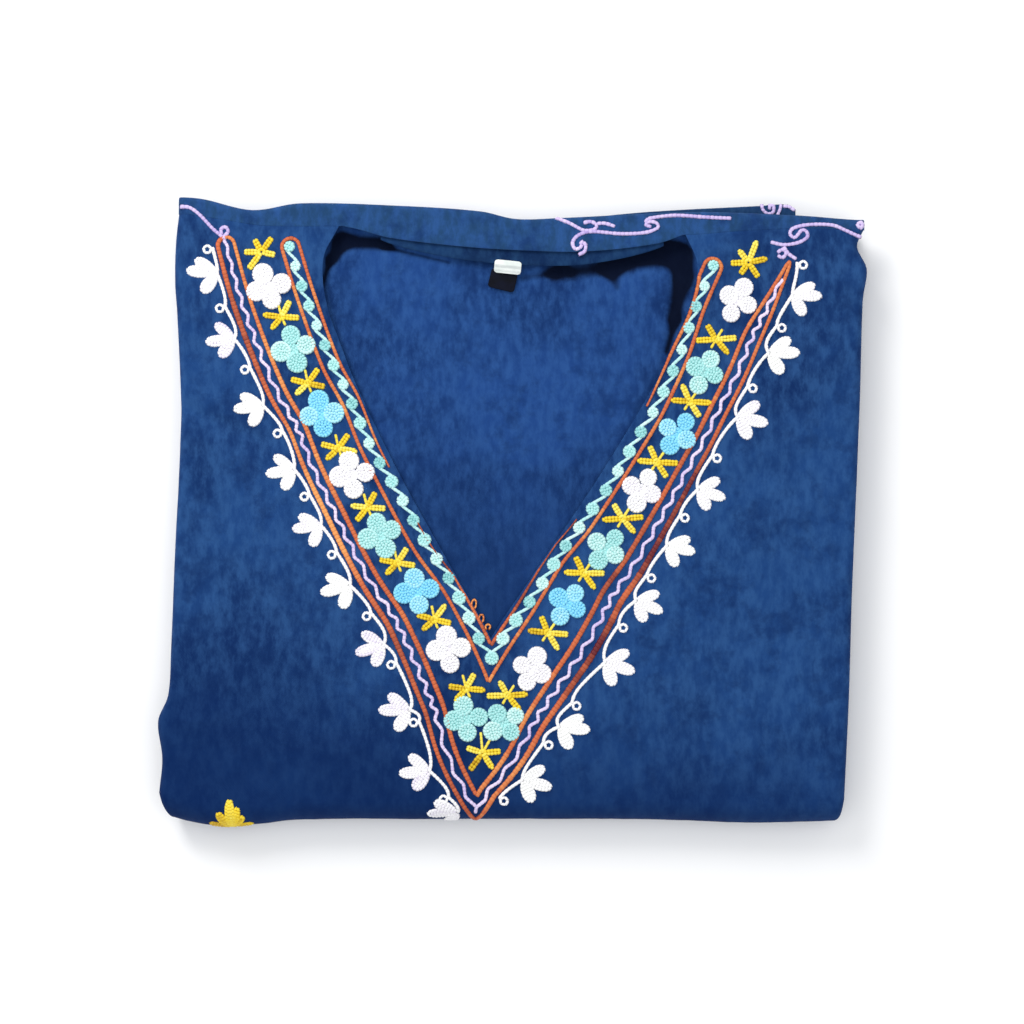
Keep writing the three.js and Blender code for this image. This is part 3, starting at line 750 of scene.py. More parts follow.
@dataclass
class FrontPanel:
    """The front: the face beside and below the V, the end fold, the side folds and the underside."""

    parcel: Parcel = PARCEL
    wrinkles: Wrinkles = Wrinkles(FRONT_CREASES, seed=3.0)
    face_columns: int = 34
    band_columns: int = 26
    wrap_columns: int = 9
    side_tuck: float = 6.0
    back_tuck: float = 7.0
    band_width: float = 43.0
    band_end_y: float = -156.0  # from here on the columns run straight
    rows: list[Row] = field(default_factory=list)
    columns: list[Column] = field(default_factory=list)

    def __post_init__(self) -> None:
        """Sets out the rows and columns of the cloth's grid."""
        zones = ((Zone.UPPER, 96), (Zone.LOWER, 44), (Zone.FOLD, 22), (Zone.UNDER, 10), (Zone.BACK, 8))
        self.rows = [Row(Zone.UPPER, 0.0)]
        for zone, count in zones:
            self.rows += [Row(zone, share) for share in spread(0, 1, count)[1:]]
        self.rows.append(Row(Zone.TUCK, 1.0))
        half = [(Strip.TUCK, 1.0)]
        half += [(Strip.WRAP, share) for share in spread(1, 0, self.wrap_columns)]
        half += [(Strip.FACE, share) for share in spread(0, 1, self.face_columns)[1:-1]]
        half += [(Strip.BAND, share) for share in spread(1, 0, self.band_columns)]
        left = [Column(-1, strip, share) for strip, share in half]
        right = [Column(1, strip, share) for strip, share in reversed(half)]
        self.columns = left + right

    def surface(self, x: float, y: float, lift: float = 0.0, soft: float = 1.0) -> Vector:
        """A place on the cloth's outside, on the face or round the end fold.

        Args:
            x: Place across the plan.
            y: Place along the cloth, which runs on round the end fold.
            lift: How far above the cloth, square to it.
            soft: Share of the wrinkles that the cloth has there.

        Returns:
            The point in the plan.
        """
        start, radius = self.parcel.fold_start(x), self.parcel.bottom_radius(x)
        turn = max(start - y, 0.0) / radius
        lift += soft * self.wrinkles.at(x, y) * (1 - smoothstep(turn, 1.6, 2.8))
        if y >= start:
            return Vector((x, y, self.parcel.top_height(x, y) + lift))
        out = radius + lift
        return Vector((x, start - out * math.sin(turn), radius + out * math.cos(turn)))

    def _face_y(self, row: Row, x: float) -> float:
        """Place along the cloth on one row, held at the end fold's start past the face."""
        if row.zone is Zone.UPPER:
            return lerp(self.parcel.shoulder_seam.at(x), self.parcel.apex_y, row.share)
        if row.zone is Zone.LOWER:
            return lerp(self.parcel.apex_y, self.parcel.fold_start(x), row.share)
        return self.parcel.fold_start(x)

    def _side_turn(self, row: Row) -> float:
        """How far the side fold is turned round on one row, where 1 is half a turn."""
        if row.zone is Zone.FOLD:
            return lerp(1, 0.5, smoothstep(min(row.share, 1 - row.share), 0, 0.25))
        if row.zone is Zone.UNDER:
            return lerp(1, 0.35, smoothstep(row.share, 0.75, 1))
        return 0.35 if row.zone in (Zone.BACK, Zone.TUCK) else 1.0

    def _side_radius(self, row: Row, side: int) -> float:
        """Radius of the side fold on one row."""
        if row.zone in (Zone.UNDER, Zone.BACK, Zone.TUCK):
            return self.parcel.under_packet / 2
        x = side * 182
        top_packet = self.parcel.top_height(x, self._face_y(row, x)) - self.parcel.top_packet_foot
        return lerp(top_packet, self.parcel.under_packet, row.share if row.zone is Zone.FOLD else 0) / 2

    def _profile(self, row: Row, x: float, depth: float, soft: float) -> Vector:
        """A place on one row, at a depth under the cloth's outside.

        Args:
            row: The row.
            x: Where across the plan the profile is read.
            depth: Depth under the outside.
            soft: Share of the wrinkles that the cloth has there.

        Returns:
            The point in the plan.
        """
        parcel = self.parcel
        if row.zone in (Zone.UPPER, Zone.LOWER):
            return self.surface(x, self._face_y(row, x), -depth, soft)
        if row.zone is Zone.FOLD:
            y = parcel.fold_start(x) - parcel.bottom_radius(x) * math.pi * row.share
            return self.surface(x, min(y, parcel.fold_start(x) - 1e-6), -depth, soft)
        if row.zone is Zone.UNDER:
            return Vector((x, lerp(parcel.fold_start(x), parcel.back_start(x), row.share), depth))
        radius = parcel.back_fold / 2
        if row.zone is Zone.BACK:
            turn = row.share * math.pi
            out = radius - depth
            return Vector((x, parcel.back_start(x) + out * math.sin(turn), radius - out * math.cos(turn)))
        return Vector((x, parcel.back_start(x) - self.back_tuck, parcel.back_fold - depth))

    def _side_x(self, row: Row, side: int) -> float:
        """The parcel's side on one row."""
        parcel = self.parcel
        y = self._profile(row, side * 184, 0, 0).y
        upper = parcel.left_side.at(y) if side < 0 else parcel.right_side.at(y)
        lower = parcel.lower_left.at(y) if side < 0 else parcel.lower_right.at(y)
        if row.zone in (Zone.UPPER, Zone.LOWER):
            return upper
        return lerp(upper, lower, row.share) if row.zone is Zone.FOLD else lower

    def _band_x(self, row: Row, side: int, share: float) -> float:
        """Place across the plan of a column that follows the V, from 0 at its edge to 1."""
        steps = 6 * share
        on_face = row.zone in (Zone.UPPER, Zone.LOWER)
        y = self._face_y(row, side * 10 * steps) if on_face else self.band_end_y
        slanted = math.hypot(1, self.parcel.v_slope)
        own = self.parcel.neck_reach(y) + self.band_width * share * slanted
        flat = 0.0 if row.zone is Zone.UPPER else smoothstep(-y, 96, -self.band_end_y)
        reach = lerp(max(own, 2.2 * steps), 22 * steps, flat)
        if share == 0:
            reach = max(self.parcel.neck_reach(y), 0.0)
        return self.parcel.middle(max(y, self.band_end_y)) + side * reach

    def _crossing(self, i: int, j: int) -> tuple[Vector, Place]:
        """The point and the flat place of one crossing of the grid."""
        row, column = self.rows[i], self.columns[j]
        side = column.side
        radius = self._side_radius(row, side)
        face_end = self._side_x(row, side) - side * radius
        x, depth, soft = face_end, 0.0, 1.0
        if column.strip in (Strip.WRAP, Strip.TUCK):
            share = 1.0 if column.strip is Strip.TUCK else column.share
            turn = math.pi * self._side_turn(row) * share
            tuck = 0.0
            if column.strip is Strip.TUCK:
                tuck = self.side_tuck * smoothstep(self._side_turn(row), 0.9, 1) + 0.3
            x = face_end + side * (radius * math.sin(turn) + tuck * math.cos(turn))
            depth = radius - radius * math.cos(turn) + tuck * math.sin(turn)
            soft = max(math.cos(turn), 0.0)
        elif column.strip is Strip.FACE:
            x = lerp(face_end, self._band_x(row, side, 1.0), column.share)
        else:
            x = self._band_x(row, side, column.share)
        read_at = min(x, face_end) if side > 0 else max(x, face_end)
        point = self._profile(row, read_at, depth, soft)
        along = point.y
        if row.zone is Zone.FOLD:
            along = self.parcel.fold_start(read_at) - self.parcel.bottom_radius(read_at) * math.pi * row.share
        elif row.zone in (Zone.UNDER, Zone.BACK, Zone.TUCK):
            along = -380.0 - point.y + point.z
        return Vector((x, point.y, point.z)), (x + side * depth * 0.6, along)

    def build(self, material: Material) -> Piece:
        """Builds the front, slit at the V.

        Args:
            material: The front's cotton.

        Returns:
            The finished piece.
        """
        rows, columns = len(self.rows) - 1, len(self.columns) - 1
        cloth = cloth_grid(rows, columns, self._crossing)
        slit = len(self.columns) // 2 - 1
        apex = sum(row.zone is Zone.UPPER for row in self.rows) - 1
        row_of = cloth.verts.layers.int["row"]
        column_of = cloth.verts.layers.int["column"]
        open_faces = [
            face
            for face in cloth.faces
            if all(vert[column_of] in (slit, slit + 1) and vert[row_of] <= apex for vert in face.verts)
        ]
        bmesh.ops.delete(cloth, geom=open_faces, context="FACES_ONLY")
        middle = [
            vert
            for vert in cloth.verts
            if vert[column_of] in (slit, slit + 1) and vert[row_of] >= apex
        ]
        bmesh.ops.remove_doubles(cloth, verts=middle, dist=0.00002)
        face_up(cloth, range(4, apex))
        piece = finished("front", cloth, material)
        thicken(piece, self.parcel.wall, 0.12)
        return piece


# The neck's hollows: where the inside sags, and where its cotton gets painted shade
HOLLOWS_AND_PAINTED_SHADE = creases(
    (-97, 137, -92, 147, 6.5, 1.0),
    (-93, 146, -68, 145, 7.0, 1.0),
    (-99, 136, -104, 118, 3.6, 0.8),
    (-70, 143, -34, 134.5, 2.6, 0.55),
    (82, 143, 92, 138, 9.0, 1.0),
    (92, 139, 93, 126, 9.0, 1.0),
    (93, 127, 88, 104, 7.0, 1.0),
    (89, 104, 84, 86, 4.0, 0.8),
    (84, 138, 56, 134, 9.0, 1.0),
    (56, 132, 24, 129, 8.0, 0.75),
    (24, 129, 6, 126, 5.0, 0.5),
    (51, 132, 57, 121, 5.0, 0.5),
    (26, 136, 32, 128, 4.0, 0.3),
    (-6, 117, 14, 108, 9.0, 0.24),
)


@dataclass
class BackPanel:
    """The back: a yoke above the neckline, the top fold, and the inside that shows through the V."""

    parcel: Parcel = PARCEL
    wrinkles: Wrinkles = Wrinkles(INSIDE_CREASES, ripple=0.3, seed=11.0)
    yoke_wrinkles: Wrinkles = Wrinkles(FRONT_CREASES, seed=3.0)
    inside_end_y: float = -96.0
    side_round: float = 4.0
    round_share: float = 0.0112  # share of the width that this rounding takes
    sag: float = 2.2  # how deep the cloth sinks into the neck's hollows
    rows: list[Row] = field(default_factory=list)
    shares: list[float] = field(default_factory=list)

    def __post_init__(self) -> None:
        """Sets out the rows and columns of the cloth's grid."""
        zones = ((Zone.YOKE, 12), (Zone.FOLD, 14))
        self.rows = [Row(Zone.YOKE, 0.0)]
        for zone, count in zones:
            self.rows += [Row(zone, share) for share in spread(0, 1, count)[1:]]
        self.rows += [Row(Zone.INSIDE, share) for share in spread(0, 0.34, 60)[1:]]
        self.rows += [Row(Zone.INSIDE, share) for share in spread(0.34, 1, 50)[1:]]
        low = self.parcel.left_side.at(156) + 1
        width = self.parcel.right_side.at(156) - 1 - low
        left, right = ((x - low) / width for x in self.parcel.back_neckline.ends())
        edge, near, step = 0.012, 0.032, 0.001  # shares of the width at the sides and beside the neck
        self.shares = spread(0, edge, 5) + spread(edge, left - near, 22)[1:]
        self.shares += spread(left - near, left - step, 8)[1:]
        self.shares += spread(left, right, 116)
        self.shares += spread(right + step, right + near, 8)
        self.shares += spread(right + near, 1 - edge, 22)[1:] + spread(1 - edge, 1, 5)[1:]

    def yoke_start(self, x: float) -> float:
        """Where the yoke begins: at the neckline, or beside it at the shoulder seam."""
        left, right = self.parcel.back_neckline.ends()
        if left <= x <= right:
            return self.parcel.back_neckline.at(x)
        return self.parcel.shoulder_seam.at(min(max(x, -176.0), 186.0)) + 0.05

    def turned(self) -> float:
        """Radius of the top fold."""
        return self.parcel.wall + self.parcel.air(160) / 2

    def yoke_surface(self, x: float, y: float, lift: float = 0.0) -> Vector:
        """A place on the cloth's outside above the front's face or on the yoke, and round the top fold.

        Args:
            x: Place across the plan.
            y: Place along the cloth.
            lift: How far above it.

        Returns:
            The point in the plan.
        """
        radius = self.turned()
        turn_y = self.parcel.top_fold.at(x) - radius
        fade = 1 - smoothstep(y, turn_y - 10, turn_y)
        height = self.parcel.top_height(x, min(y, turn_y)) + self.yoke_wrinkles.at(x, y) * fade
        turn = max(y - turn_y, 0.0) / radius
        out = radius + lift
        return Vector((x, min(y, turn_y) + out * math.sin(turn), height - radius + out * math.cos(turn)))

    def hollow_and_painted_shade(self, x: float, y: float) -> float:
        """How far a place on the inside lies in one of the neck's hollows, from 0 to 1: the cloth sags there,
        and the cotton gets painted shade there.
        """
        return min(sum(hollow_and_painted_shade.at(x, y) for hollow_and_painted_shade in HOLLOWS_AND_PAINTED_SHADE), 1.0)

    def _crossing(self, i: int, j: int) -> tuple[Vector, Place]:
        """The point and the flat place of one crossing of the grid."""
        parcel, row, share = self.parcel, self.rows[i], self.shares[j]
        folded = smoothstep(row.share, 0.4, 1.0)
        inward = {Zone.YOKE: 0.0, Zone.FOLD: folded, Zone.INSIDE: 1.0}[row.zone]
        near_y = lerp(155, self.inside_end_y, row.share) if row.zone is Zone.INSIDE else 156
        set_back = lerp(0.4, 7, inward)
        x = lerp(parcel.left_side.at(near_y) + set_back, parcel.right_side.at(near_y) - set_back, share)
        turned = self.turned()
        turn_y = parcel.top_fold.at(x) - turned
        from_side = min(share, 1 - share) / self.round_share
        edge_drop = self.side_round * (1 - math.sqrt(1 - max(1 - from_side, 0.0) ** 2)) * (1 - inward)
        if row.zone is Zone.YOKE:
            y = lerp(self.yoke_start(x), turn_y, row.share)
            point = self.yoke_surface(x, y)
            return point - Vector((0, 0, edge_drop)), (x, y)
        if row.zone is Zone.FOLD:
            point = self.yoke_surface(x, turn_y + row.share * math.pi * turned)
            return point - Vector((0, 0, edge_drop)), (x, turn_y + turned * row.share * math.pi)
        y = lerp(turn_y, self.inside_end_y, row.share)
        depth = 2 * parcel.wall + parcel.air(y)
        lift = self.wrinkles.at(x, y) * smoothstep(row.share, 0, 0.1)
        sag = self.sag * self.hollow_and_painted_shade(x, y) * smoothstep(row.share, 0.0, 0.04)
        return Vector((x, y, parcel.top_height(x, y) - depth + min(lift, 0.3) - sag)), (x, 340 - y)

    def build(self, material: Material) -> Piece:
        """Builds the back.

        Args:
            material: The back's cotton.

        Returns:
            The finished piece.
        """
        cloth = cloth_grid(len(self.rows) - 1, len(self.shares) - 1, self._crossing)
        face_up(cloth, range(1, 8))
        row_of = cloth.verts.layers.int["row"]
        # Mask for the cotton's painted shade: how deep each vertex of the inside lies in the neck's hollows
        shade = cloth.verts.layers.float.new("hollow_and_painted_shade")
        for vert in cloth.verts:
            if self.rows[vert[row_of]].zone is Zone.INSIDE:
                x, y = vert.co.x / MM - PLAN_SHIFT_X, vert.co.y / MM - PLAN_SHIFT_Y
                vert[shade] = self.hollow_and_painted_shade(x, y)
        piece = finished("back", cloth, material)
        thicken(piece, self.parcel.wall, 0.12)
        return piece


class Sewn:
    """A piece that is one grid of cloth, whose first rows face up."""

    name: str
    rows: int
    columns: int
    wall: float
    rounding: float

    def _crossing(self, i: int, j: int) -> tuple[Vector, Place]:
        """The point and the flat place of one crossing of the grid."""
        raise NotImplementedError

    def build(self, material: Material) -> Piece:
        """Builds the piece.

        Args:
            material: Its finish.

        Returns:
            The finished piece.
        """
        cloth = cloth_grid(self.rows, self.columns, self._crossing)
        face_up(cloth, range(10))
        piece = finished(self.name, cloth, material)
        thicken(piece, self.wall, self.rounding)
        return piece


@dataclass
class NeckBinding(Sewn):
    """The turned and bound edge that shows below the back yoke."""

    back: BackPanel
    name: str = "neck_binding"
    shows: float = 7.8
    hidden: float = 5.0
    wall: float = 1.0
    rounding: float = 0.25
    columns: int = 96
    rows: int = 10

    def point(self, x: float, across: float, narrow: float, lift: float = 0.0) -> Vector:
        """A place on the binding.

        Args:
            x: Place across the plan.
            across: From 0 at its hidden edge to 1 at its lower edge.
            narrow: How wide the binding is there, against its full width.
            lift: How far above it.

        Returns:
            The point in the plan.
        """
        parcel = self.back.parcel
        y = parcel.back_neckline.at(x) + lerp(self.hidden, -self.shows, across) * narrow
        below = parcel.wall + parcel.gap - 0.1 + 0.5 * smoothstep(across, 0.86, 1.0)
        return Vector((x, y, parcel.top_height(x, y) - below + lift))

    def narrow(self, share: float) -> float:
        """Width of the binding along the neck, which runs out towards the shoulders."""
        return math.sin(math.pi * lerp(0.036, 0.964, share)) ** 0.6

    def span(self) -> tuple[float, float]:
        """Where the binding begins and ends."""
        left, right = self.back.parcel.back_neckline.ends()
        return left + 22, right - 12

    def _crossing(self, i: int, j: int) -> tuple[Vector, Place]:
        """The point and the flat place of one crossing of the grid."""
        left, right = self.span()
        x = lerp(left, right, j / self.columns)
        point = self.point(x, i / self.rows, self.narrow(j / self.columns))
        return point, (point.x, point.y)


@dataclass
class Label(Sewn):
    """A blank woven label at the back of the neck."""

    name: str
    x: float
    y: float
    turn: float
    length: float
    depths: tuple[float, ...]  # below the parcel's top, along the label
    width: float = 14.6
    wall: float = 1.0
    rounding: float = 0.25
    corner: float = 1.6
    rows: int = 16
    columns: int = 24
    parcel: Parcel = PARCEL

    def _crossing(self, i: int, j: int) -> tuple[Vector, Place]:
        """The point and the flat place of one crossing of the grid."""
        share = i / self.rows
        near_end = min(share, 1 - share) * self.length
        inset = self.corner - math.sqrt(max(self.corner**2 - max(self.corner - near_end, 0.0) ** 2, 0.0))
        across = (j / self.columns - 0.5) * (self.width - 2 * inset)
        along = (0.5 - share) * self.length
        x = self.x + across * math.cos(self.turn) - along * math.sin(self.turn)
        y = self.y + across * math.sin(self.turn) + along * math.cos(self.turn)
        step = share * (len(self.depths) - 1)
        k = min(int(step), len(self.depths) - 2)
        depth = lerp(self.depths[k], self.depths[k + 1], smoothstep(step - k, 0, 1))
        bow = 0.25 * math.sin(math.pi * j / self.columns) - 0.12
        return Vector((x, y, self.parcel.top_height(x, y) - depth + bow)), (across, along)


@dataclass
class Sleeve(Sewn):
    """A sleeve folded in behind the top packet, of which only its fold shows."""

    name: str
    fold: Curve
    foot: float = 98.0
    low: float = 15.4
    high: float = 17.0
    wall: float = 0.7
    rounding: float = 0.0
    columns: int = 90
    rows: int = 38
    turn_rows: int = 10

    def surface(self, x: float, y: float, lift: float = 0.0) -> Vector:
        """A place on the sleeve's upper side, near its fold.

        Args:
            x: Place across the plan.
            y: Place along the cloth.
            lift: How far above it.

        Returns:
            The point in the plan.
        """
        radius = (self.high - self.low) / 2
        start = self.fold.at(x) - radius
        turn = max(y - start, 0.0) / radius
        out = radius + lift
        middle = (self.high + self.low) / 2
        return Vector((x, min(y, start) + out * math.sin(turn), middle + out * math.cos(turn)))

    def _crossing(self, i: int, j: int) -> tuple[Vector, Place]:
        """The point and the flat place of one crossing of the grid."""
        flat_rows, turn_rows = (self.rows - self.turn_rows) // 2, self.turn_rows
        x = lerp(*self.fold.ends(), j / self.columns)
        radius = (self.high - self.low) / 2
        start = self.fold.at(x) - radius
        arc = math.pi * radius
        if i <= flat_rows:
            y = lerp(self.foot, start, i / flat_rows)
            return self.surface(x, y), (x, y)
        if i <= flat_rows + turn_rows:
            y = start + arc * (i - flat_rows) / turn_rows
            return self.surface(x, y), (x, y)
        back = lerp(start, self.foot, (i - flat_rows - turn_rows) / flat_rows)
        return Vector((x, back, self.low)), (x, 2 * start + arc - back)


class Outline(Enum):
    """Which of the parcel's outlines a packet follows."""

    UPPER = "upper"
    LOWER = "lower"


@dataclass(frozen=True)
class Packet:
    """One hidden packet of folded cloth, whose layers show at its sides."""

    outline: Outline
    low: float
    high: float
    sides: float  # how far it stands back from the outline
    back: float  # how far it stands back from the top fold
    layers: int
    parcel: Parcel = PARCEL

    def _ring(self, level: float, tuck: float, around: int) -> list[Vector]:
        """Points round the packet at one height, tucked in by a little.

        Args:
            level: Height above the table.
            tuck: How far the ring stands back from the packet's own outline.
            around: Number of points.

        Returns:
            The points in the plan, counterclockwise.
        """
        parcel = self.parcel
        upper = self.outline is Outline.UPPER
        left_at = parcel.left_side if upper else parcel.lower_left
        right_at = parcel.right_side if upper else parcel.lower_right
        radius = parcel.height / 2
        inner = radius - parcel.wall - 1.5
        nest = radius - math.sqrt(max(inner**2 - (level - radius) ** 2, 0.0))
        half_width, power = 184, 14  # the higher the power, the squarer the corners
        ring = []
        for k in range(around):
            turn = math.tau * (k + 0.5) / around - 0.75 * math.pi
            squared = max(abs(math.cos(turn)), abs(math.sin(turn)))
            softened = (abs(math.cos(turn)) ** power + abs(math.sin(turn)) ** power) ** (-1 / power)
            across = math.cos(turn) * softened
            along = math.sin(turn) * softened
            rough_x = half_width * max(min(math.cos(turn) / squared, 1), -1)
            front = parcel.bottom_end.at(rough_x) + nest + 0.3 * tuck
            y = lerp(front, parcel.top_fold.at(rough_x) - self.back - tuck, (along + 1) / 2)
            left = left_at.at(y) + self.sides + tuck
            right = right_at.at(y) - self.sides - tuck
            ring.append(Vector((lerp(left, right, (across + 1) / 2), y, level)))
        return ring

    def rings(self, around: int) -> list[list[Vector]]:
        """The packet's rings from its foot to its top, rounded at each layer's fold.

        Args:
            around: Number of points on a ring.

        Returns:
            The rings in the plan.
        """
        shares = (0.0, 0.18, 0.5, 0.82)
        tucks = (0.75, 0.2, 0.0, 0.2)
        rings = []
        for layer in range(self.layers):
            slip = 0.5 * noise.noise(Vector((layer * 3.1, self.low, 5.0)))
            for share, tuck in zip(shares, tucks):
                level = lerp(self.low, self.high, (layer + share) / self.layers)
                rings.append(self._ring(level, tuck + 0.5 + slip, around))
        rings.append(self._ring(self.high, 1.25, around))
        return rings


@dataclass
class HiddenLayers:
    """The packets between the front's cloth, one on the other."""

    packets: tuple[Packet, ...] = (
        Packet(Outline.LOWER, 1.6, 4.4, 3.0, 10.4, 2),
        Packet(Outline.LOWER, 3.6, 9.2, 10.4, 10.4, 4),
        Packet(Outline.UPPER, 6.3, 11.5, 0.9, 17.4, 4),
        Packet(Outline.UPPER, 11.35, 15.0, 0.0, 4.0, 3),
        Packet(Outline.UPPER, 13.6, 16.4, 1.9, 75.4, 2),
        Packet(Outline.UPPER, 16.0, 20.2, 12.5, 79.4, 3),
    )
    around: int = 220

    def build(self, material: Material) -> Piece:
        """Builds the packets, each extruded ring by ring from a circle and capped.

        Args:
            material: The hidden layers' cotton.

        Returns:
            The finished piece.
        """
        stack = bmesh.new()
        uv = stack.loops.layers.uv.new("Cloth")
        for packet in self.packets:
            self._raise(stack, packet.rings(self.around))
        bmesh.ops.recalc_face_normals(stack, faces=stack.faces[:])
        for face in stack.faces:
            for loop in face.loops:
                co = loop.vert.co
                loop[uv].uv = (co.x + co.y, co.z) if abs(face.normal.z) < 0.7 else (co.x, co.y)
        return finished("inner_layers", stack, material)

    def _raise(self, stack: Mesh, rings: Sequence[Sequence[Vector]]) -> None:
        """Adds one closed packet to the stack.

        Args:
            stack: The mesh that it goes into.
            rings: Its rings, from the foot up.
        """
        made = bmesh.ops.create_circle(stack, segments=len(rings[0]), radius=1.0)
        ring = sorted(made["verts"], key=lambda vert: math.atan2(vert.co.y, vert.co.x) % math.tau)
        for vert, point in zip(ring, rings[0]):
            vert.co = to_frame(point)
        bmesh.ops.contextual_create(stack, geom=self._edges(ring))
        for points in rings[1:]:
            grown = bmesh.ops.extrude_edge_only(stack, edges=self._edges(ring))["geom"]
            fresh = {item for item in grown if isinstance(item, Vert)}
            ring = [next(e.other_vert(v) for e in v.link_edges if e.other_vert(v) in fresh) for v in ring]
            for vert, point in zip(ring, points):
                vert.co = to_frame(point)
        bmesh.ops.contextual_create(stack, geom=self._edges(ring))

    def _edges(self, ring: Sequence[Vert]) -> list[bmesh.types.BMEdge]:
        """Edges between the neighbours of a ring."""
        after = [*ring[1:], ring[0]]
        return [next(e for e in a.link_edges if e.other_vert(a) is b) for a, b in zip(ring, after)]


Ground = Callable[[float, float, float], Vector]


@dataclass(frozen=True)
class ChainStitch:
    """One loop of chain stitch: a teardrop of thread, narrow where it comes up and round where it ends."""

    pitch: float = 2.2
    overlap: float = 1.5  # length of a loop against the pitch
    sunk: float = 0.22
    rows: int = 5
    groove: float = 0.2  # depth between the loop's two strands
    waist: float = 0.84  # width where it comes up, against its full width
    dip: float = 0.76  # height there

    def prototype(self) -> tuple[np.ndarray, list[list[int]], list[list[Place]]]:
        """Shapes one loop from a grid, domed in two strands, and closes it below.

        Returns:
            Its points as along, across and up, its faces, and each face corner's place on the loop.
        """
        loop = bmesh.new()
        bmesh.ops.create_grid(loop, x_segments=4, y_segments=self.rows, size=1.0)
        uv = loop.loops.layers.uv.new("Stitch")
        for face in loop.faces:
            for corner in face.loops:
                corner[uv].uv = ((corner.vert.co.x + 1) / 2, (corner.vert.co.y + 1) / 2)
        for vert in loop.verts:
            across, share = vert.co.x, (vert.co.y + 1) / 2
            body = lerp(self.waist, 1.0, smoothstep(share, 0.0, 0.4))
            cap = math.sqrt(1 - 0.6 * smoothstep(share, 0.7, 1.0))
            rise = lerp(self.dip, 1.0, smoothstep(share, 0.0, 0.45))
            rise *= 1 - 0.16 * smoothstep(share, 0.75, 1.0)
            dome = (1 - across**4) * (1 - self.groove * math.exp(-((across / 0.3) ** 2)))
            rim = abs(across) > 0.99 or share < 0.01 or share > 0.99
            up = -1.0 if rim else rise * dome
            vert.co = Vector(((share - 0.5) * self.overlap, across * body * cap / 2, up))
        rim_edges = [edge for edge in loop.edges if edge.is_boundary]
        bmesh.ops.contextual_create(loop, geom=rim_edges)
        bmesh.ops.recalc_face_normals(loop, faces=loop.faces[:])
        loop.verts.index_update()
        points = np.array([vert.co[:] for vert in loop.verts])
        faces = [[vert.index for vert in face.verts] for face in loop.faces]
        maps = [[tuple(corner[uv].uv) for corner in face.loops] for face in loop.faces]
        loop.free()
        return points, faces, maps


LINE_STITCH = ChainStitch()
FILL_STITCH = ChainStitch(pitch=1.75, rows=3, groove=0.0, waist=1.0, dip=0.95)

Spread = float | tuple[float, ...]


def read_spread(values: Spread, share: float) -> float:
    """Reads a value that is given once, or at even places along a line, at a share of the way."""
    steps = np.atleast_1d(values)
    return float(np.interp(share * (len(steps) - 1), range(len(steps)), steps))


@dataclass(frozen=True)
class Course:
    """One line of thread on the cloth."""

    places: Sequence[Place]
    width: Spread = 2.3
    tone: Spread = 0.55  # 0 for the darkest thread of its colour and 1 for the palest
    sway: float = 0.12  # how far the tone drifts along the line
    height: float = 0.9  # above the cloth
    stitch: ChainStitch = LINE_STITCH

    def samples(self) -> list[tuple[float, float, float, float, float]]:
        """Even places along the course, one for each stitch.

        Returns:
            For each stitch its share of the way, x, y, and the step ahead in x and y.
        """
        line = np.array(self.places, float)
        steps = np.hypot(*np.diff(line, axis=0).T)
        line = line[np.concatenate([[True], steps > 1e-6])]
        along = np.concatenate([[0.0], np.cumsum(np.hypot(*np.diff(line, axis=0).T))])
        count = max(round(along[-1] / self.stitch.pitch), 1)
        share = (np.arange(count) + 0.5) / count
        at, half = share * along[-1], 0.45 * self.stitch.pitch
        x, y = (np.interp(at, along, column) for column in line.T)
        ahead, behind = at + half, at - half
        dx, dy = (np.interp(ahead, along, column) - np.interp(behind, along, column) for column in line.T)
        return list(zip(share, x, y, dx, dy))


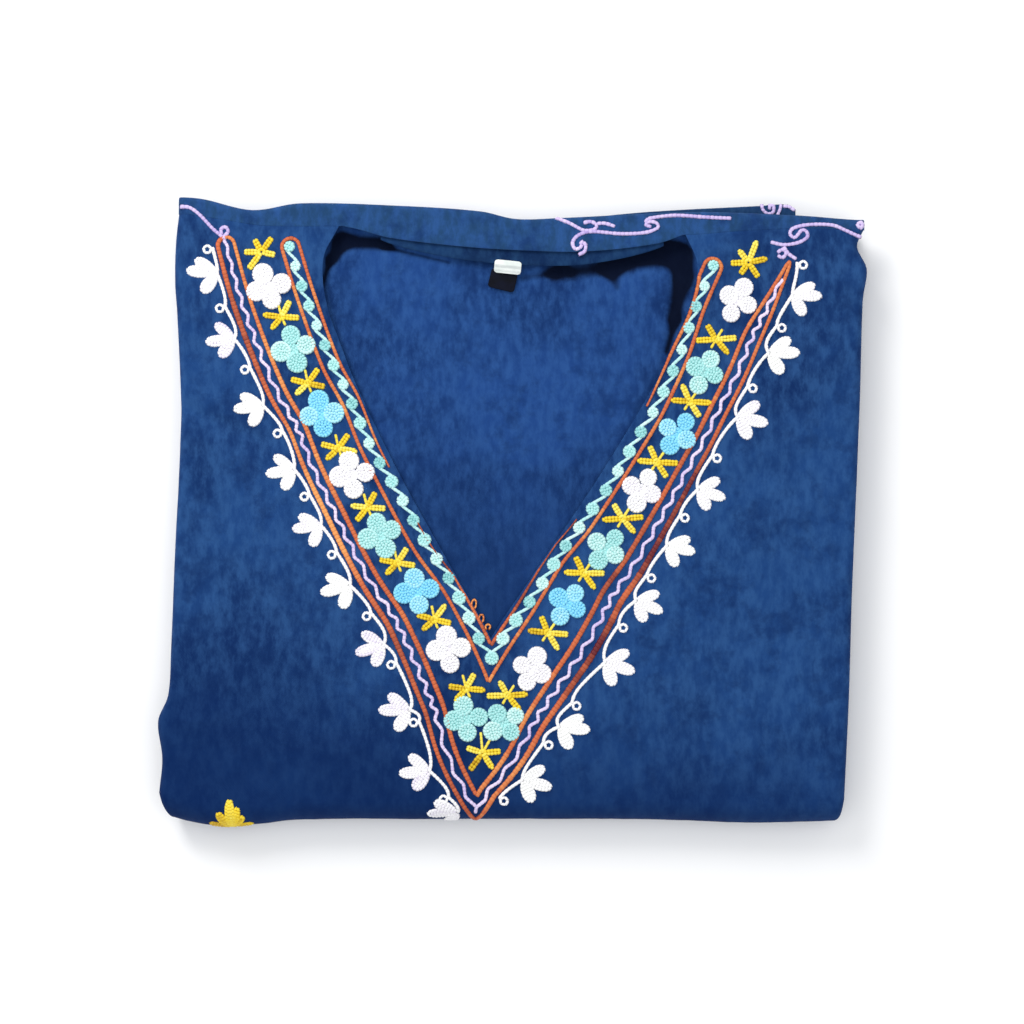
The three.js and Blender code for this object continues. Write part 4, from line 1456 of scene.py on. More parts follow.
@dataclass
class ThreadWork:
    """All the stitching in one colour."""

    name: str
    ground: Ground  # gives the place on the usual cloth for x, y and a lift
    seed: int
    courses: list[tuple[Course, Ground]] = field(default_factory=list)

    def __post_init__(self) -> None:
        """Sets up the small differences between stitches."""
        self.random = np.random.default_rng(self.seed)

    def add(self, course: Course, ground: Ground | None = None) -> None:
        """Adds one line of thread, and the cloth that it lies on where that isn't the usual one."""
        self.courses.append((course, ground or self.ground))

    def _placed(
        self, number: int, course: Course, ground: Ground, points: np.ndarray
    ) -> tuple[np.ndarray, list[float]]:
        """Lays a loop at each stitch of one course.

        Args:
            number: The course's number, which its drift of shade depends on.
            course: The course.
            ground: The cloth that it lies on.
            points: The single loop's points.

        Returns:
            All the loops' points in the plan, and each loop's shade.
        """
        placed, tones = [], []
        stitch = course.stitch
        for k, (share, x, y, dx, dy) in enumerate(course.samples()):
            length = math.hypot(dx, dy) or 1.0
            here = ground(x, y, 0.0)
            ahead = ground(x + 0.6 * dx / length, y + 0.6 * dy / length, 0.0) - here
            up = (ground(x, y, 1.0) - here).normalized()
            beside = up.cross(ahead).normalized()
            ahead = beside.cross(up)
            wobble = self.random.normal(0, 1, 4)
            width = read_spread(course.width, share) * (1 + 0.035 * wobble[0])
            tall = course.height * (1 + 0.04 * wobble[1])
            reach = stitch.pitch * (1 + 0.03 * wobble[2])
            raised = np.where(points[:, 2] < 0, -stitch.sunk, points[:, 2] * tall)
            axes = np.array([ahead[:], beside[:], up[:]])
            local = np.stack([points[:, 0] * reach, points[:, 1] * width, raised], axis=1)
            placed.append(local @ axes + np.array(here[:]))
            drift = noise.noise(Vector((k * 0.11, number * 7.7, 2.0)))
            tone = read_spread(course.tone, share) + course.sway * (2 * drift + 0.35 * wobble[3])
            tones.append(min(max(tone, 0.0), 1.0))
        return np.array(placed), tones

    def build(self, material: Material) -> Piece:
        """Joins a loop for each stitch into one mesh.

        Args:
            material: The thread's finish.

        Returns:
            The finished piece.
        """
        vertices, corners, sizes, flat, shades = [], [], [], [], []
        start = 0
        for stitch in (LINE_STITCH, FILL_STITCH):
            points, faces, maps = stitch.prototype()
            for number, (course, ground) in enumerate(self.courses):
                if course.stitch is not stitch:
                    continue
                placed, tones = self._placed(number, course, ground, points)
                count, size = len(tones), len(points)
                vertices.append(placed.reshape(-1, 3))
                one = np.array([corner for face in faces for corner in face])
                offsets = start + size * np.arange(count)
                corners.append((offsets[:, None] + one[None, :]).ravel())
                sizes.append(np.tile([len(face) for face in faces], count))
                flat.append(np.tile(np.array([place for face in maps for place in face]), (count, 1)))
                shades.append(np.repeat(tones, size))
                start += size * count
        places = (np.concatenate(vertices) + np.array([PLAN_SHIFT_X, PLAN_SHIFT_Y, 0.0])) * MM
        faces = np.split(np.concatenate(corners), np.cumsum(np.concatenate(sizes))[:-1])
        data = bpy.data.meshes.new(self.name)
        data.from_pydata(places.tolist(), [], [face.tolist() for face in faces])
        uv = data.uv_layers.new(name="Stitch")
        uv.data.foreach_set("uv", np.concatenate(flat).astype(np.float32).ravel())
        tone = data.attributes.new("tone", "FLOAT", "POINT")
        tone.data.foreach_set("value", np.concatenate(shades).astype(np.float32))
        data.update()
        return put_in_scene(self.name, data, material)


@dataclass(frozen=True)
class Arm:
    """One arm of the embroidered V: places along its inner edge and square out from it."""

    side: int
    half_width: Curve  # from the middle line to the band's inner edge, by y
    drift: Curve  # how far the outer lines wander, by the place along the arm
    top_y: float = 160.0
    foot_y: float = -170.0
    turn_length: float = 9.2  # length of one turn of the zigzag at the top
    turn_growth: float = 24336.0  # the smaller, the sooner the turns get longer
    parcel: Parcel = PARCEL
    guide: list[Place] = field(default_factory=list)
    outward: list[Place] = field(default_factory=list)
    length: list[float] = field(default_factory=list)

    def __post_init__(self) -> None:
        """Traces the inner edge and its direction."""
        ys = spread(self.top_y, self.foot_y, 330)
        self.guide.extend((self._edge_x(y), y) for y in ys)
        for y in ys:
            above, below = min(y + 12, self.top_y), max(y - 12, self.foot_y)
            dx, dy = self._edge_x(above) - self._edge_x(below), above - below
            size = math.hypot(dx, dy)
            self.outward.append((self.side * dy / size, -self.side * dx / size))
        self.length.append(0.0)
        for near, far in zip(self.guide, self.guide[1:]):
            self.length.append(self.length[-1] + math.dist(near, far))

    def _edge_x(self, y: float) -> float:
        """The inner edge's place across the plan."""
        return self.parcel.middle(y) + self.side * self.half_width.at(y)

    def _read(self, table: Sequence[Place], along: float) -> Place:
        """Reads a table of places at a length along the arm."""
        return tuple(float(np.interp(along, self.length, [row[k] for row in table])) for k in (0, 1))

    def at(self, along: float, out: float) -> Place:
        """A place on the band.

        Args:
            along: Length along the inner edge, from above the shoulder.
            out: Distance outwards from that edge.

        Returns:
            The place on the plan.
        """
        x, y = self._read(self.guide, along)
        nx, ny = self._read(self.outward, along)
        reach = out + self.drift.at(along) * min(max((out - 12) / 28, 0.0), 1.2)
        return x + nx * reach, y + ny * reach

    def angle(self, along: float) -> float:
        """Direction straight out from the band, as an angle on the plan."""
        nx, ny = self._read(self.outward, along)
        return math.atan2(ny, nx)

    def line(
        self, out: float | Curve, start: float, end: float | None = None, wave: float = 0.0, step: float = 1.0
    ) -> list[Place]:
        """A line beside the inner edge, down to where the two arms meet.

        Args:
            out: Distance from the inner edge, which may change along the arm.
            start: Length along the arm where it starts.
            end: Where it ends, or None for the middle line.
            wave: Height of its zigzag, whose turns get longer down the arm.
            step: Distance between its points.

        Returns:
            The places along it.
        """
        places = []
        along = start
        while along < self.length[-1] and (end is None or along <= end):
            turns = along / self.turn_length - along**2 / self.turn_growth
            swing = 2 / math.pi * math.asin(0.93 * math.sin(math.tau * turns))
            swing *= lerp(0.55, 1, smoothstep(along, 10, 60))
            middle = out.at(along) if isinstance(out, Curve) else out
            x, y = self.at(along, middle + wave * swing)
            axis = self.parcel.middle(y) - 3.5 * smoothstep(-y, 92, 165)
            if end is None and self.side * (x - axis) < 0:
                break
            places.append((x, y))
            along += step
        return places


LEFT_ARM = Arm(
    side=-1,
    half_width=Curve((
        (-170, -42.4), (-141, -26.9), (-119, -16.9), (-94, -10.5), (-71, 0.0), (-54, 9.4), (-37.5, 19.6),
        (-16, 36.2), (24, 59.8), (39, 68), (61, 78), (81, 89.8), (116, 104.5), (146, 115.3), (160, 120.3),
    )),
    drift=Curve((
        (0, 0.5), (34, 1.5), (107, -0.3), (190, 1.3), (230, 3.5), (258, 5), (280, 5.1), (300, 3.5),
        (336, 0.1),
    )),
)
RIGHT_ARM = Arm(
    side=1,
    half_width=Curve((
        (-170, -47.1), (-141, -32.5), (-119, -21), (-94, -11.6), (-71, 0.6), (-51, 12.7), (-37.5, 20.2),
        (-22, 29), (-3.5, 43), (51.6, 75), (72, 84), (88, 90), (111, 96.3), (131.5, 104), (150, 111),
        (160, 114.5),
    )),
    drift=Curve((
        (0, 4.5), (45, 3), (104, -1.5), (160, 1.1), (222, 6.1), (260, 6.6), (306, 3.5), (336, -2.1),
    )),
)


class Hue(Enum):
    """The colours of thread."""

    WHITE = "white"
    IVORY = "ivory"
    AQUA = "aqua"
    BLUE = "blue"
    YELLOW = "yellow"
    ORANGE = "orange"
    LAVENDER = "lavender"


def polar(centre: Place, reach: float, angle: float) -> Place:
    """The place at a distance and an angle from another."""
    return centre[0] + reach * math.cos(angle), centre[1] + reach * math.sin(angle)


def rotated(base: Place, angle: float, places: Iterable[Place]) -> list[Place]:
    """Turns places round their origin by an angle and moves that to a base."""
    cos, sin = math.cos(angle), math.sin(angle)
    return [(base[0] + u * cos - v * sin, base[1] + u * sin + v * cos) for u, v in places]


def smooth_line(places: Sequence[Place], steps: int = 8) -> list[Place]:
    """Rounds a line through a few given places.

    Args:
        places: The places.
        steps: Points between two of them.

    Returns:
        The rounded line.
    """
    ends = [places[0], *places, places[-1]]
    line = []
    for a, b, c, d in zip(ends, ends[1:], ends[2:], ends[3:]):
        for k in range(steps):
            t = k / steps
            line.append(tuple(
                0.5 * (2 * b[m] + (c[m] - a[m]) * t + (2 * a[m] - 5 * b[m] + 4 * c[m] - d[m]) * t * t
                       + (3 * b[m] - a[m] - 3 * c[m] + d[m]) * t**3)
                for m in (0, 1)
            ))
    return [*line, places[-1]]


def spiral_places(centre: Place, radius: float, start: float, gap: float) -> list[Place]:
    """Places round a circle once, and then in a spiral to its middle.

    Args:
        centre: The circle's middle.
        radius: Its radius.
        start: Angle of the start.
        gap: Distance between the spiral's turns.

    Returns:
        The places along it.
    """
    turns = 1 + radius / gap
    count = round(turns * 18)
    places = []
    for k in range(count + 1):
        done = turns * k / count
        reach = radius - gap * max(done - 1, 0.0)
        places.append(polar(centre, reach, start + math.tau * done))
    return places


Rays = Rows  # direction in degrees and length of each ray
Lobes = tuple[float, float, float]  # how far out a flower's two pairs of lobes stand, and their radius
LAST_DOT: Place = (-10.9, -79.7)  # the dot at the V's point
FOOT_STAR: Place = (-15.9, -130.9)
FOOT_RAYS: Rays = ((162, 9.4), (5, 10.7), (234, 11.6), (-57, 11.2))
FOOT_STALKS: Rays = ((95, 11), (61, 9.6))
FOOT_FLOWERS = (((-24.7, -112.7), 100, (7.4, 6.6, 5.5)), ((-4.7, -114.6), 35, (7.2, 6.2, 5.3)))


@dataclass(frozen=True)
class ArmMotifs:
    """Where the motifs of one arm stand, by their place along it and their distance out."""

    arm: Arm
    first_star: Rays
    star: Rays
    stalks: Rays
    stars: tuple[float, ...]
    flower_turn: float
    flowers: tuple[tuple[float, float, Hue], ...]
    trefoils: Rows
    eyelets: Rows
    lobes: Lobes
    dots_start: float
    dots_gap: float
    dots_bend: float
    dots_count: int
    dots_out: Curve
    line_top: float
    edge_end: float  # where the line on the edge comes loose
    edge_again: float  # where it starts again, thin at first
    outer_top: float
    wave_top: float
    second_out: Curve
    wave_out: Curve
    outer_out: Curve
    second_tone: tuple[float, ...]
    outer_tone: tuple[float, ...]
    outer_width: tuple[float, ...]


LEFT_MOTIFS = ArmMotifs(
    arm=LEFT_ARM,
    first_star=((180, 9.7), (119, 8.6), (54, 9.6), (-12, 8.6), (233, 11.2)),
    star=((169, 9.8), (225, 9.6), (58, 9.8), (-8, 10.4)),
    stalks=((103, 7.6), (-68, 5.0)),
    stars=(15, 51, 87, 127, 161, 193, 231, 276),
    flower_turn=105,
    flowers=(
        (34, 22, Hue.WHITE), (69, 20.5, Hue.AQUA), (105, 22, Hue.BLUE), (142, 20, Hue.WHITE),
        (177, 21, Hue.AQUA), (211, 20.5, Hue.BLUE), (250, 20.5, Hue.WHITE),
    ),
    trefoils=(
        (19, 45.5), (54, 47.5), (87, 47.5), (128, 47), (158, 47), (190, 47.5), (229, 48), (278, 48.5),
        (312, 49), (334, 46.5),
    ),
    eyelets=(
        (5, 44.6), (37, 46.4), (70, 45.4), (104, 45.4), (141, 45.2), (174, 45.6), (206, 45.8),
        (243, 45.6), (291, 46), (325, 46.4),
    ),
    lobes=(7.5, 7.0, 5.7),
    dots_start=16.7,
    dots_gap=11.08,
    dots_bend=0.034,
    dots_count=21,
    dots_out=Curve((
        (16, 5.5), (48, 5), (84, 3.6), (109, 4.8), (142, 3.6), (163, 2.1), (200, 2.3), (226, 4.2), (252, 5),
    )),
    line_top=17,
    edge_end=147,
    edge_again=180,
    outer_top=6,
    wave_top=3,
    second_out=Curve(((0, 33), (340, 33))),
    wave_out=Curve(((0, 37.4), (340, 37.4))),
    outer_out=Curve(((0, 41.8), (340, 41.8))),
    second_tone=(0.75, 0.72, 0.8, 0.66, 0.7, 0.5, 0.46, 0.44, 0.42, 0.4),
    outer_tone=(0.5, 0.15, 0.72, 0.95, 0.2, 0.4, 0.3),
    outer_width=(2.8, 3.6, 2.6, 3.4, 3.6, 2.8, 2.8),
)
RIGHT_MOTIFS = ArmMotifs(
    arm=RIGHT_ARM,
    first_star=((69, 12.2), (12, 11.4), (-56, 9.4), (128, 9.6), (182, 9.6), (235, 8.6)),
    star=((117, 9.8), (178, 11.4), (0, 11.4), (-54, 11.0)),
    stalks=((56, 6.2), (-122, 5.4)),
    stars=(19, 66, 100, 135, 170, 205, 244, 286),
    flower_turn=60,
    flowers=(
        (40, 23.5, Hue.WHITE), (83, 21, Hue.AQUA), (117, 22, Hue.BLUE), (152, 21, Hue.WHITE),
        (187, 21.5, Hue.AQUA), (226, 21.5, Hue.BLUE), (265, 23.5, Hue.WHITE),
    ),
    trefoils=(
        (25.5, 46), (64, 48.5), (97, 48.5), (136, 47.5), (169, 47), (199, 48), (241, 49), (289, 48.5),
        (323, 47.5),
    ),
    eyelets=(
        (9, 41.5), (45, 45.8), (82, 45.6), (118, 45.8), (152, 45.4), (185, 45.2), (221, 45.6),
        (270, 46.6), (304, 46), (336, 45),
    ),
    lobes=(7.6, 5.9, 5.3),
    dots_start=28,
    dots_gap=12.2,
    dots_bend=0.0,
    dots_count=20,
    dots_out=Curve((
        (28, 4.9), (101, 5), (128, 4.5), (160, 5.2), (186, 4.4), (211, 6.1), (224, 6), (250, 4.2), (262, 3.9),
    )),
    line_top=29,
    edge_end=112,
    edge_again=184,
    outer_top=12,
    wave_top=20,
    second_out=Curve(((12, 37.4), (62, 33), (340, 33))),
    wave_out=Curve(((0, 37.4), (12, 38.0), (62, 37.4), (340, 37.4))),
    outer_out=Curve(((12, 38.8), (62, 41.8), (340, 41.8))),
    second_tone=(0.64, 0.6, 0.62, 0.5, 0.34, 0.36, 0.3, 0.2, 0.42, 0.6, 0.66, 0.66, 0.66),
    outer_tone=(0.62, 0.62, 0.6, 0.5, 0.24, 0.08, 0.1, 0.4, 0.14, 0.36, 0.6, 0.62, 0.6),
    outer_width=(2.2, 2.4, 2.6, 3.2, 3.9, 3.9, 3.4, 2.8),
)


@dataclass
class Embroidery:
    """The chain-stitched neck band, the vine beside it and the scrolls above it."""

    front: FrontPanel
    back: BackPanel
    sleeve: Sleeve
    fill_gap: float = 1.3  # between the turns of a filling thread
    fill_width: float = 2.1
    edge_out: float = 0.2  # the line on the V's edge
    edge_again_out: float = 0.6  # and farther down, where it starts again
    inner_out: float = 9.6  # the line beyond the dots
    wave_out: float = 37.4  # the middle of the zigzag between the outer lines
    outer_half: float = 4.4  # from there to each outer line
    cap_rise: float = 4.6  # how far a round end of two lines reaches past them
    star_out: float = 20.5
    vine_out: float = 44.6
    eyelet_radius: float = 1.85
    works: dict[Hue, ThreadWork] = field(default_factory=dict)

    def __post_init__(self) -> None:
        """Starts one work for each colour."""
        for seed, hue in enumerate(Hue):
            self.works[hue] = ThreadWork(f"{hue.value}_stitching", self._on_front, seed + 1)

    def _on_front(self, x: float, y: float, lift: float) -> Vector:
        """A place on the front, kept on the cloth beside the V."""
        parcel = self.front.parcel
        if parcel.apex_y < y < 150:
            middle, reach = parcel.middle(y), parcel.neck_reach(y) + 1.3
            if abs(x - middle) < reach:
                x = middle + math.copysign(reach, x - middle)
        return self.front.surface(x, y, lift)

    def disc(
        self, hue: Hue, centre: Place, radius: float, start: float, tone: float, height: float = 0.8
    ) -> None:
        """A round spot filled by a spiral of thread, which starts at an angle on its rim."""
        places = spiral_places(centre, radius - self.fill_width / 2, start, self.fill_gap)
        self.works[hue].add(Course(places, self.fill_width, tone, 0.08, height, FILL_STITCH))

    def flower(self, hue: Hue, centre: Place, turn: float, lobes: Lobes) -> None:
        """Four round lobes round a filled middle.

        Args:
            hue: Colour of the thread.
            centre: The flower's middle.
            turn: Angle of its first lobe.
            lobes: Sizes of its lobes.
        """
        self.disc(hue, centre, radius=3.6, start=turn, tone=0.45)
        for k in range(4):
            angle = turn + k * math.pi / 2 + 0.09 * math.sin(5.1 * k + centre[1])
            reach = lobes[k % 2] * (1 + 0.05 * math.sin(2.3 * k + centre[0]))
            lobe = polar(centre, reach, angle)
            radius = lobes[2] * (1 + 0.06 * math.sin(1.7 * k + centre[1]))
            tone = 0.62 + 0.16 * math.sin(3.1 * k + 0.7 * centre[1])
            self.disc(hue, lobe, radius, angle + math.pi, tone, height=1.22 + 0.05 * k)

    def leaf(self, centre: Place, degrees: float, length: float, tone: float) -> None:
        """One ray of a star: thread up one side, round its tip and back.

        Args:
            centre: The star's middle.
            degrees: Direction of the ray.
            length: Its length.
            tone: Shade of the thread.
        """
        half, tip = 0.78, length - 1.9
        line = [(0.6, half * 0.55), (tip * 0.5, half * 1.1), (tip, half)]
        line += [(tip + 0.85 * math.cos(a), half * math.sin(a)) for a in spread(math.pi / 3, -math.pi / 3, 4)]
        line += [(tip, -half), (tip * 0.5, -half * 1.1), (0.6, -half * 0.55)]
        places = rotated(centre, math.radians(degrees), line)
        self.works[Hue.YELLOW].add(Course(places, 2.1, tone, 0.14, 1.0, FILL_STITCH))

    def star(self, centre: Place, rays: Rays, stalks: Rays = (), turn: float = 0.0) -> None:
        """A small spray of thick rays, with thin stalks to its neighbours.

        Args:
            centre: Its middle.
            rays: Direction and length of each ray.
            stalks: The same for each stalk.
            turn: Degrees by which it is turned.
        """
        for degrees, length in stalks:
            end = polar(centre, length, math.radians(degrees + 0.4 * turn))
            self.works[Hue.YELLOW].add(Course([centre, end], 1.8, 0.7, 0.1, height=0.7))
        for k, (degrees, length) in enumerate(rays):
            uneven = 1 + 0.07 * math.sin(2.9 * k + centre[0])
            self.leaf(centre, degrees + turn, length * uneven, 0.55 + 0.22 * math.sin(1.9 * k + centre[1]))

    def petal(
        self, hue: Hue, base: Place, angle: float, length: float, width: float, tone: float
    ) -> None:
        """A petal that is widest near its tip, filled by threads that follow its edge.

        Args:
            hue: Colour of the thread.
            base: Where it starts.
            angle: Its direction.
            length: Its length.
            width: Its width.
            tone: Shade of the thread.
        """
        lines = []
        inset = self.fill_width / 2
        while width / 2 - inset > 0.3:
            ring = []
            for k in range(25):
                phi = math.tau * k / 24 - math.pi
                u = length * 0.52 + (length * 0.5 - inset) * math.cos(phi)
                v = (width / 2 - inset) * math.sin(phi) * (0.9 + 0.22 * math.cos(phi))
                ring.append((u, v))
            lines.append(ring)
            inset += self.fill_gap
        lines.append([(length * 0.3, 0.0), (length * 0.8, 0.0)])
        for line in lines:
            places = rotated(base, angle, line)
            self.works[hue].add(Course(places, self.fill_width, tone, 0.12, 0.8, FILL_STITCH))

    def trefoil(self, arm: Arm, along: float, out: float) -> None:
        """Three petals that fan out from the vine.

        Args:
            arm: The arm of the V that it stands beside.
            along: Its place along the arm.
            out: Distance of its base from the band's inner edge.
        """
        base, outward = arm.at(along, out), arm.angle(along)
        tone = 0.66 + 0.26 * math.sin(along * 0.9)
        size = 1 + 0.04 * math.sin(along * 1.7)
        for tilt, length, width in ((0.3, 16.2, 7.3), (0.94, 13.8, 7.0), (-0.6, 13.0, 8.0)):
            swing = tilt + 0.08 * math.sin(along + 5 * tilt)
            shade = tone + 0.12 * math.sin(along + 9 * tilt)
            self.petal(Hue.IVORY, base, outward + arm.side * swing, length * size, width * size, shade)

    def vine(self, arm: Arm, motifs: Sequence[Place]) -> None:
        """The line that swings from motif to motif and hugs the band between them.

        Args:
            arm: The arm of the V that it runs beside.
            motifs: Place along the arm and distance from it of each motif's base, in order.
        """
        places = []
        near = self.vine_out
        for (start, start_out), (end, end_out) in zip(motifs, motifs[1:]):
            for k in range(12):
                t = k / 12
                out = near + (start_out - near) * (1 - t) ** 2.2 + (end_out - near) * t**6
                places.append(arm.at(lerp(start, end, t), out))
        self.works[Hue.IVORY].add(Course([*places, arm.at(*motifs[-1])], 2.2, 0.7, 0.14))

    def eyelet(self, arm: Arm, along: float, out: float) -> None:
        """A small open ring that the vine's thread makes beside it."""
        centre, start = arm.at(along, out + 3.0), arm.angle(along) + math.pi
        ring = [polar(centre, self.eyelet_radius, angle) for angle in spread(start, start + math.tau, 22)]
        self.works[Hue.IVORY].add(Course(ring, 1.75, 0.7, 0.1))

    def dots(self, motifs: ArmMotifs) -> None:
        """Round dots joined by a thread that passes from side to side.

        Args:
            motifs: The arm's motifs.
        """
        arm, numbers = motifs.arm, range(motifs.dots_count)
        along = [motifs.dots_start + motifs.dots_gap * k + motifs.dots_bend * k * k for k in numbers]
        middles = [arm.at(place, motifs.dots_out.at(place)) for place in along]
        middles.append(LAST_DOT)
        for (ax, ay), (bx, by) in zip(middles, middles[1:]):
            gap = math.dist((ax, ay), (bx, by))
            nx, ny = -(by - ay) / gap, (bx - ax) / gap
            line = []
            for k in range(9):
                t = k / 8
                swing = 1.9 * math.cos(math.pi * t) * arm.side
                line.append((lerp(ax, bx, t) + nx * swing, lerp(ay, by, t) + ny * swing))
            self.works[Hue.AQUA].add(Course(line, 2.1, 0.72, height=0.7))
        for number, (place, middle) in enumerate(zip(along, middles)):
            radius = (3.2 + 0.7 * place / 260) * (1 + 0.06 * math.sin(4.3 * number))
            tone = 0.55 + 0.3 * math.sin(2.1 * number)
            self.disc(Hue.AQUA, middle, radius, arm.angle(place), tone, height=1.05)

    def lines(self, motifs: ArmMotifs) -> None:
        """The orange lines of one arm, and the zigzag between the outer two.

        Args:
            motifs: The arm's motifs.
        """
        arm, top, outer_top = motifs.arm, motifs.line_top, motifs.outer_top
        orange, lavender = self.works[Hue.ORANGE], self.works[Hue.LAVENDER]
        rise, wave = self.cap_rise, self.wave_out
        middle, half = (self.inner_out + self.edge_out) / 2, (self.inner_out - self.edge_out) / 2
        half_turn = spread(0, math.pi, 10)
        across = [arm.at(top - rise * math.sin(t), middle + half * math.cos(t)) for t in half_turn]
        inner = [*reversed(arm.line(self.inner_out, top)), *across]
        orange.add(Course(inner, 2.4, (0.6, 0.56, 0.5, 0.66, 0.66, 0.5), 0.16))
        edge = [across[-2], *arm.line(self.edge_out, top, motifs.edge_end)]
        orange.add(Course(edge, (2.3, 2.2, 1.3), (0.4, 0.66, 0.6, 0.5), 0.16))
        edge = arm.line(self.edge_again_out, motifs.edge_again)
        orange.add(Course(edge, (0.9, 1.0, 1.9, 2.3), (0.2, 0.3, 0.4, 0.4), 0.16))
        if arm.side < 0:
            half, half_turn = self.outer_half, spread(0, math.pi, 8)
            cap = [arm.at(outer_top - rise * math.sin(t), wave - half * math.cos(t)) for t in half_turn]
        else:
            cap = [arm.at(outer_top - past, out) for past, out in ((1, 37.8), (2, 38.1), (1, 38.4))]
        crown = len(cap) // 2
        second = [*reversed(cap[: crown + 1]), *arm.line(motifs.second_out, outer_top)]
        orange.add(Course(second, (2.3, 2.9, 3.2, 3.3, 3.0), motifs.second_tone, 0.12))
        outer = [*cap[crown:], *arm.line(motifs.outer_out, outer_top)]
        orange.add(Course(outer, motifs.outer_width, motifs.outer_tone, 0.12))
        zigzag = arm.line(motifs.wave_out, motifs.wave_top, wave=1.35, step=0.7)
        lavender.add(Course(zigzag, 2.2, 0.8, 0.14))

    def stitch_arm(self, motifs: ArmMotifs) -> None:
        """Stitches one arm of the band and the vine beside it.

        Args:
            motifs: The arm's motifs.
        """
        arm = motifs.arm
        self.lines(motifs)
        for number, along in enumerate(motifs.stars):
            swing = 5 * math.sin(1.9 * number)
            if number == 0:
                self.star(arm.at(along, self.star_out), motifs.first_star)
            else:
                self.star(arm.at(along, self.star_out), motifs.star, motifs.stalks, swing)
        for along, out, hue in motifs.flowers:
            turn = math.radians(motifs.flower_turn) + 0.12 * math.sin(along)
            self.flower(hue, arm.at(along, out), turn, motifs.lobes)
        self.vine(arm, sorted([*motifs.eyelets, *motifs.trefoils]))
        for along, out in motifs.eyelets:
            self.eyelet(arm, along, out)
        for along, out in motifs.trefoils:
            self.trefoil(arm, along, out)
        self.dots(motifs)

    def scrolls(self) -> None:
        """The loose lavender scrolls by the shoulders, on the yoke and on the right sleeve."""
        lavender = self.works[Hue.LAVENDER]
        for line in (
            ((-179, 164.2), (-174, 163.6), (-168.6, 159.6), (-162, 152.6), (-157.4, 148.6), (-155, 146.2)),
            ((-156.8, 149.4), (-157.2, 152), (-154.8, 153), (-153.4, 150.6), (-155.2, 148.4), (-156, 146.6)),
            ((23.7, 158.6), (31.6, 155), (38.9, 151.4), (44.7, 152.1), (45.4, 154.5), (42.5, 156),
             (38.9, 155.4)),
            ((46.1, 155), (50.4, 155.1), (55.5, 153.5)),
            ((36.2, 138.3), (39.2, 140.1), (39.7, 143.4), (37.7, 144.9), (37.1, 142.4), (34.2, 141.3),
             (32.8, 144.9), (36, 148.8), (43.2, 150.7), (59.1, 149.5), (72.1, 150.2), (78.6, 152.8),
             (77.9, 155.4), (74.3, 156), (72.4, 154.3), (75, 153.4)),
            ((72.1, 155.7), (75, 157.9), (88, 159.6), (102.5, 158.6), (112.3, 158.2), (118.3, 158)),
            ((140.1, 145), (146.8, 143.6), (154.8, 144.8), (159.6, 147.9), (159.1, 150.9), (156.7, 151.6),
             (154.8, 149.4), (152.6, 147.6), (150.4, 149.4), (151.7, 152.3), (157.1, 154.1), (165, 154.7),
             (173.7, 154.1), (180, 151.6), (184.8, 149.4), (188.4, 147.8)),
            ((188.6, 156), (186.8, 154.6), (188.2, 152.8), (189.4, 154.4), (188.4, 156.2)),
            ((146.9, 142.4), (149.6, 138.6), (153.4, 136)),
            ((143.6, 139.4), (146, 141), (148, 139.2), (146.2, 136.6), (143.8, 137.8)),
        ):
            lavender.add(Course(smooth_line(line), 2.3, 0.5, 0.2), self.back.yoke_surface)
        for line in (
            ((135.8, 166.2), (136.2, 163.6), (138.9, 161.2), (141.7, 162), (142.1, 165.2), (140.1, 165.6),
             (140.1, 163.8)),
            ((146.1, 165.9), (145.6, 163.6), (144.1, 160)),
            ((147.6, 165.2), (150.2, 165), (151.6, 164.2), (153.4, 163)),
        ):
            lavender.add(Course(smooth_line(line), 2.1, 0.6, 0.16), self.sleeve.surface)

    def spray(self) -> None:
        """The golden spray that the bottom fold cuts through."""
        foot = (-152.4, -177.0)
        for tip_x, tip_y, width, tone in (
            (-164, -171, 5.4, 0.2), (-140.6, -172, 5.0, 0.26), (-159.2, -163.4, 6.0, 0.34),
            (-145.4, -165.6, 5.2, 0.4), (-148.4, -160.4, 5.4, 0.5), (-152.8, -156.2, 6.2, 0.62),
        ):
            length = math.dist(foot, (tip_x, tip_y))
            angle = math.atan2(tip_y - foot[1], tip_x - foot[0])
            self.petal(Hue.YELLOW, foot, angle, length, width, tone)

    def loose_loops(self) -> None:
        """Three slack loops of thread at the edge, left of the V's point."""
        loops = ((-20.6, -50.6, 2.5, 0.8), (-16.6, -58.4, 2.1, 0.75), (-13.0, -62.8, 1.3, 1.0))
        for x, y, long_half, tone in loops:
            places = []
            for turn in spread(-2.6, 2.6, 12):
                u, v = 1.25 * math.sin(turn), long_half * math.cos(turn)
                places.append((x + u + 0.1 * v, y + v))
            self.works[Hue.ORANGE].add(Course(places, 1.1, tone, 0.1, 0.9, FILL_STITCH), self.front.surface)

    def build(self, threads: dict[Hue, Thread]) -> list[Piece]:
        """Stitches the whole pattern.

        Args:
            threads: The finish of each colour.

        Returns:
            One finished piece for each colour.
        """
        self.stitch_arm(LEFT_MOTIFS)
        self.stitch_arm(RIGHT_MOTIFS)
        self.star(FOOT_STAR, FOOT_RAYS, FOOT_STALKS)
        self.disc(Hue.AQUA, LAST_DOT, radius=4.0, start=0.0, tone=0.6, height=1.05)
        for centre, degrees, lobes in FOOT_FLOWERS:
            self.flower(Hue.AQUA, centre, math.radians(degrees), lobes)
        self.scrolls()
        self.spray()
        self.loose_loops()
        return [self.works[hue].build(threads[hue].material()) for hue in Hue]


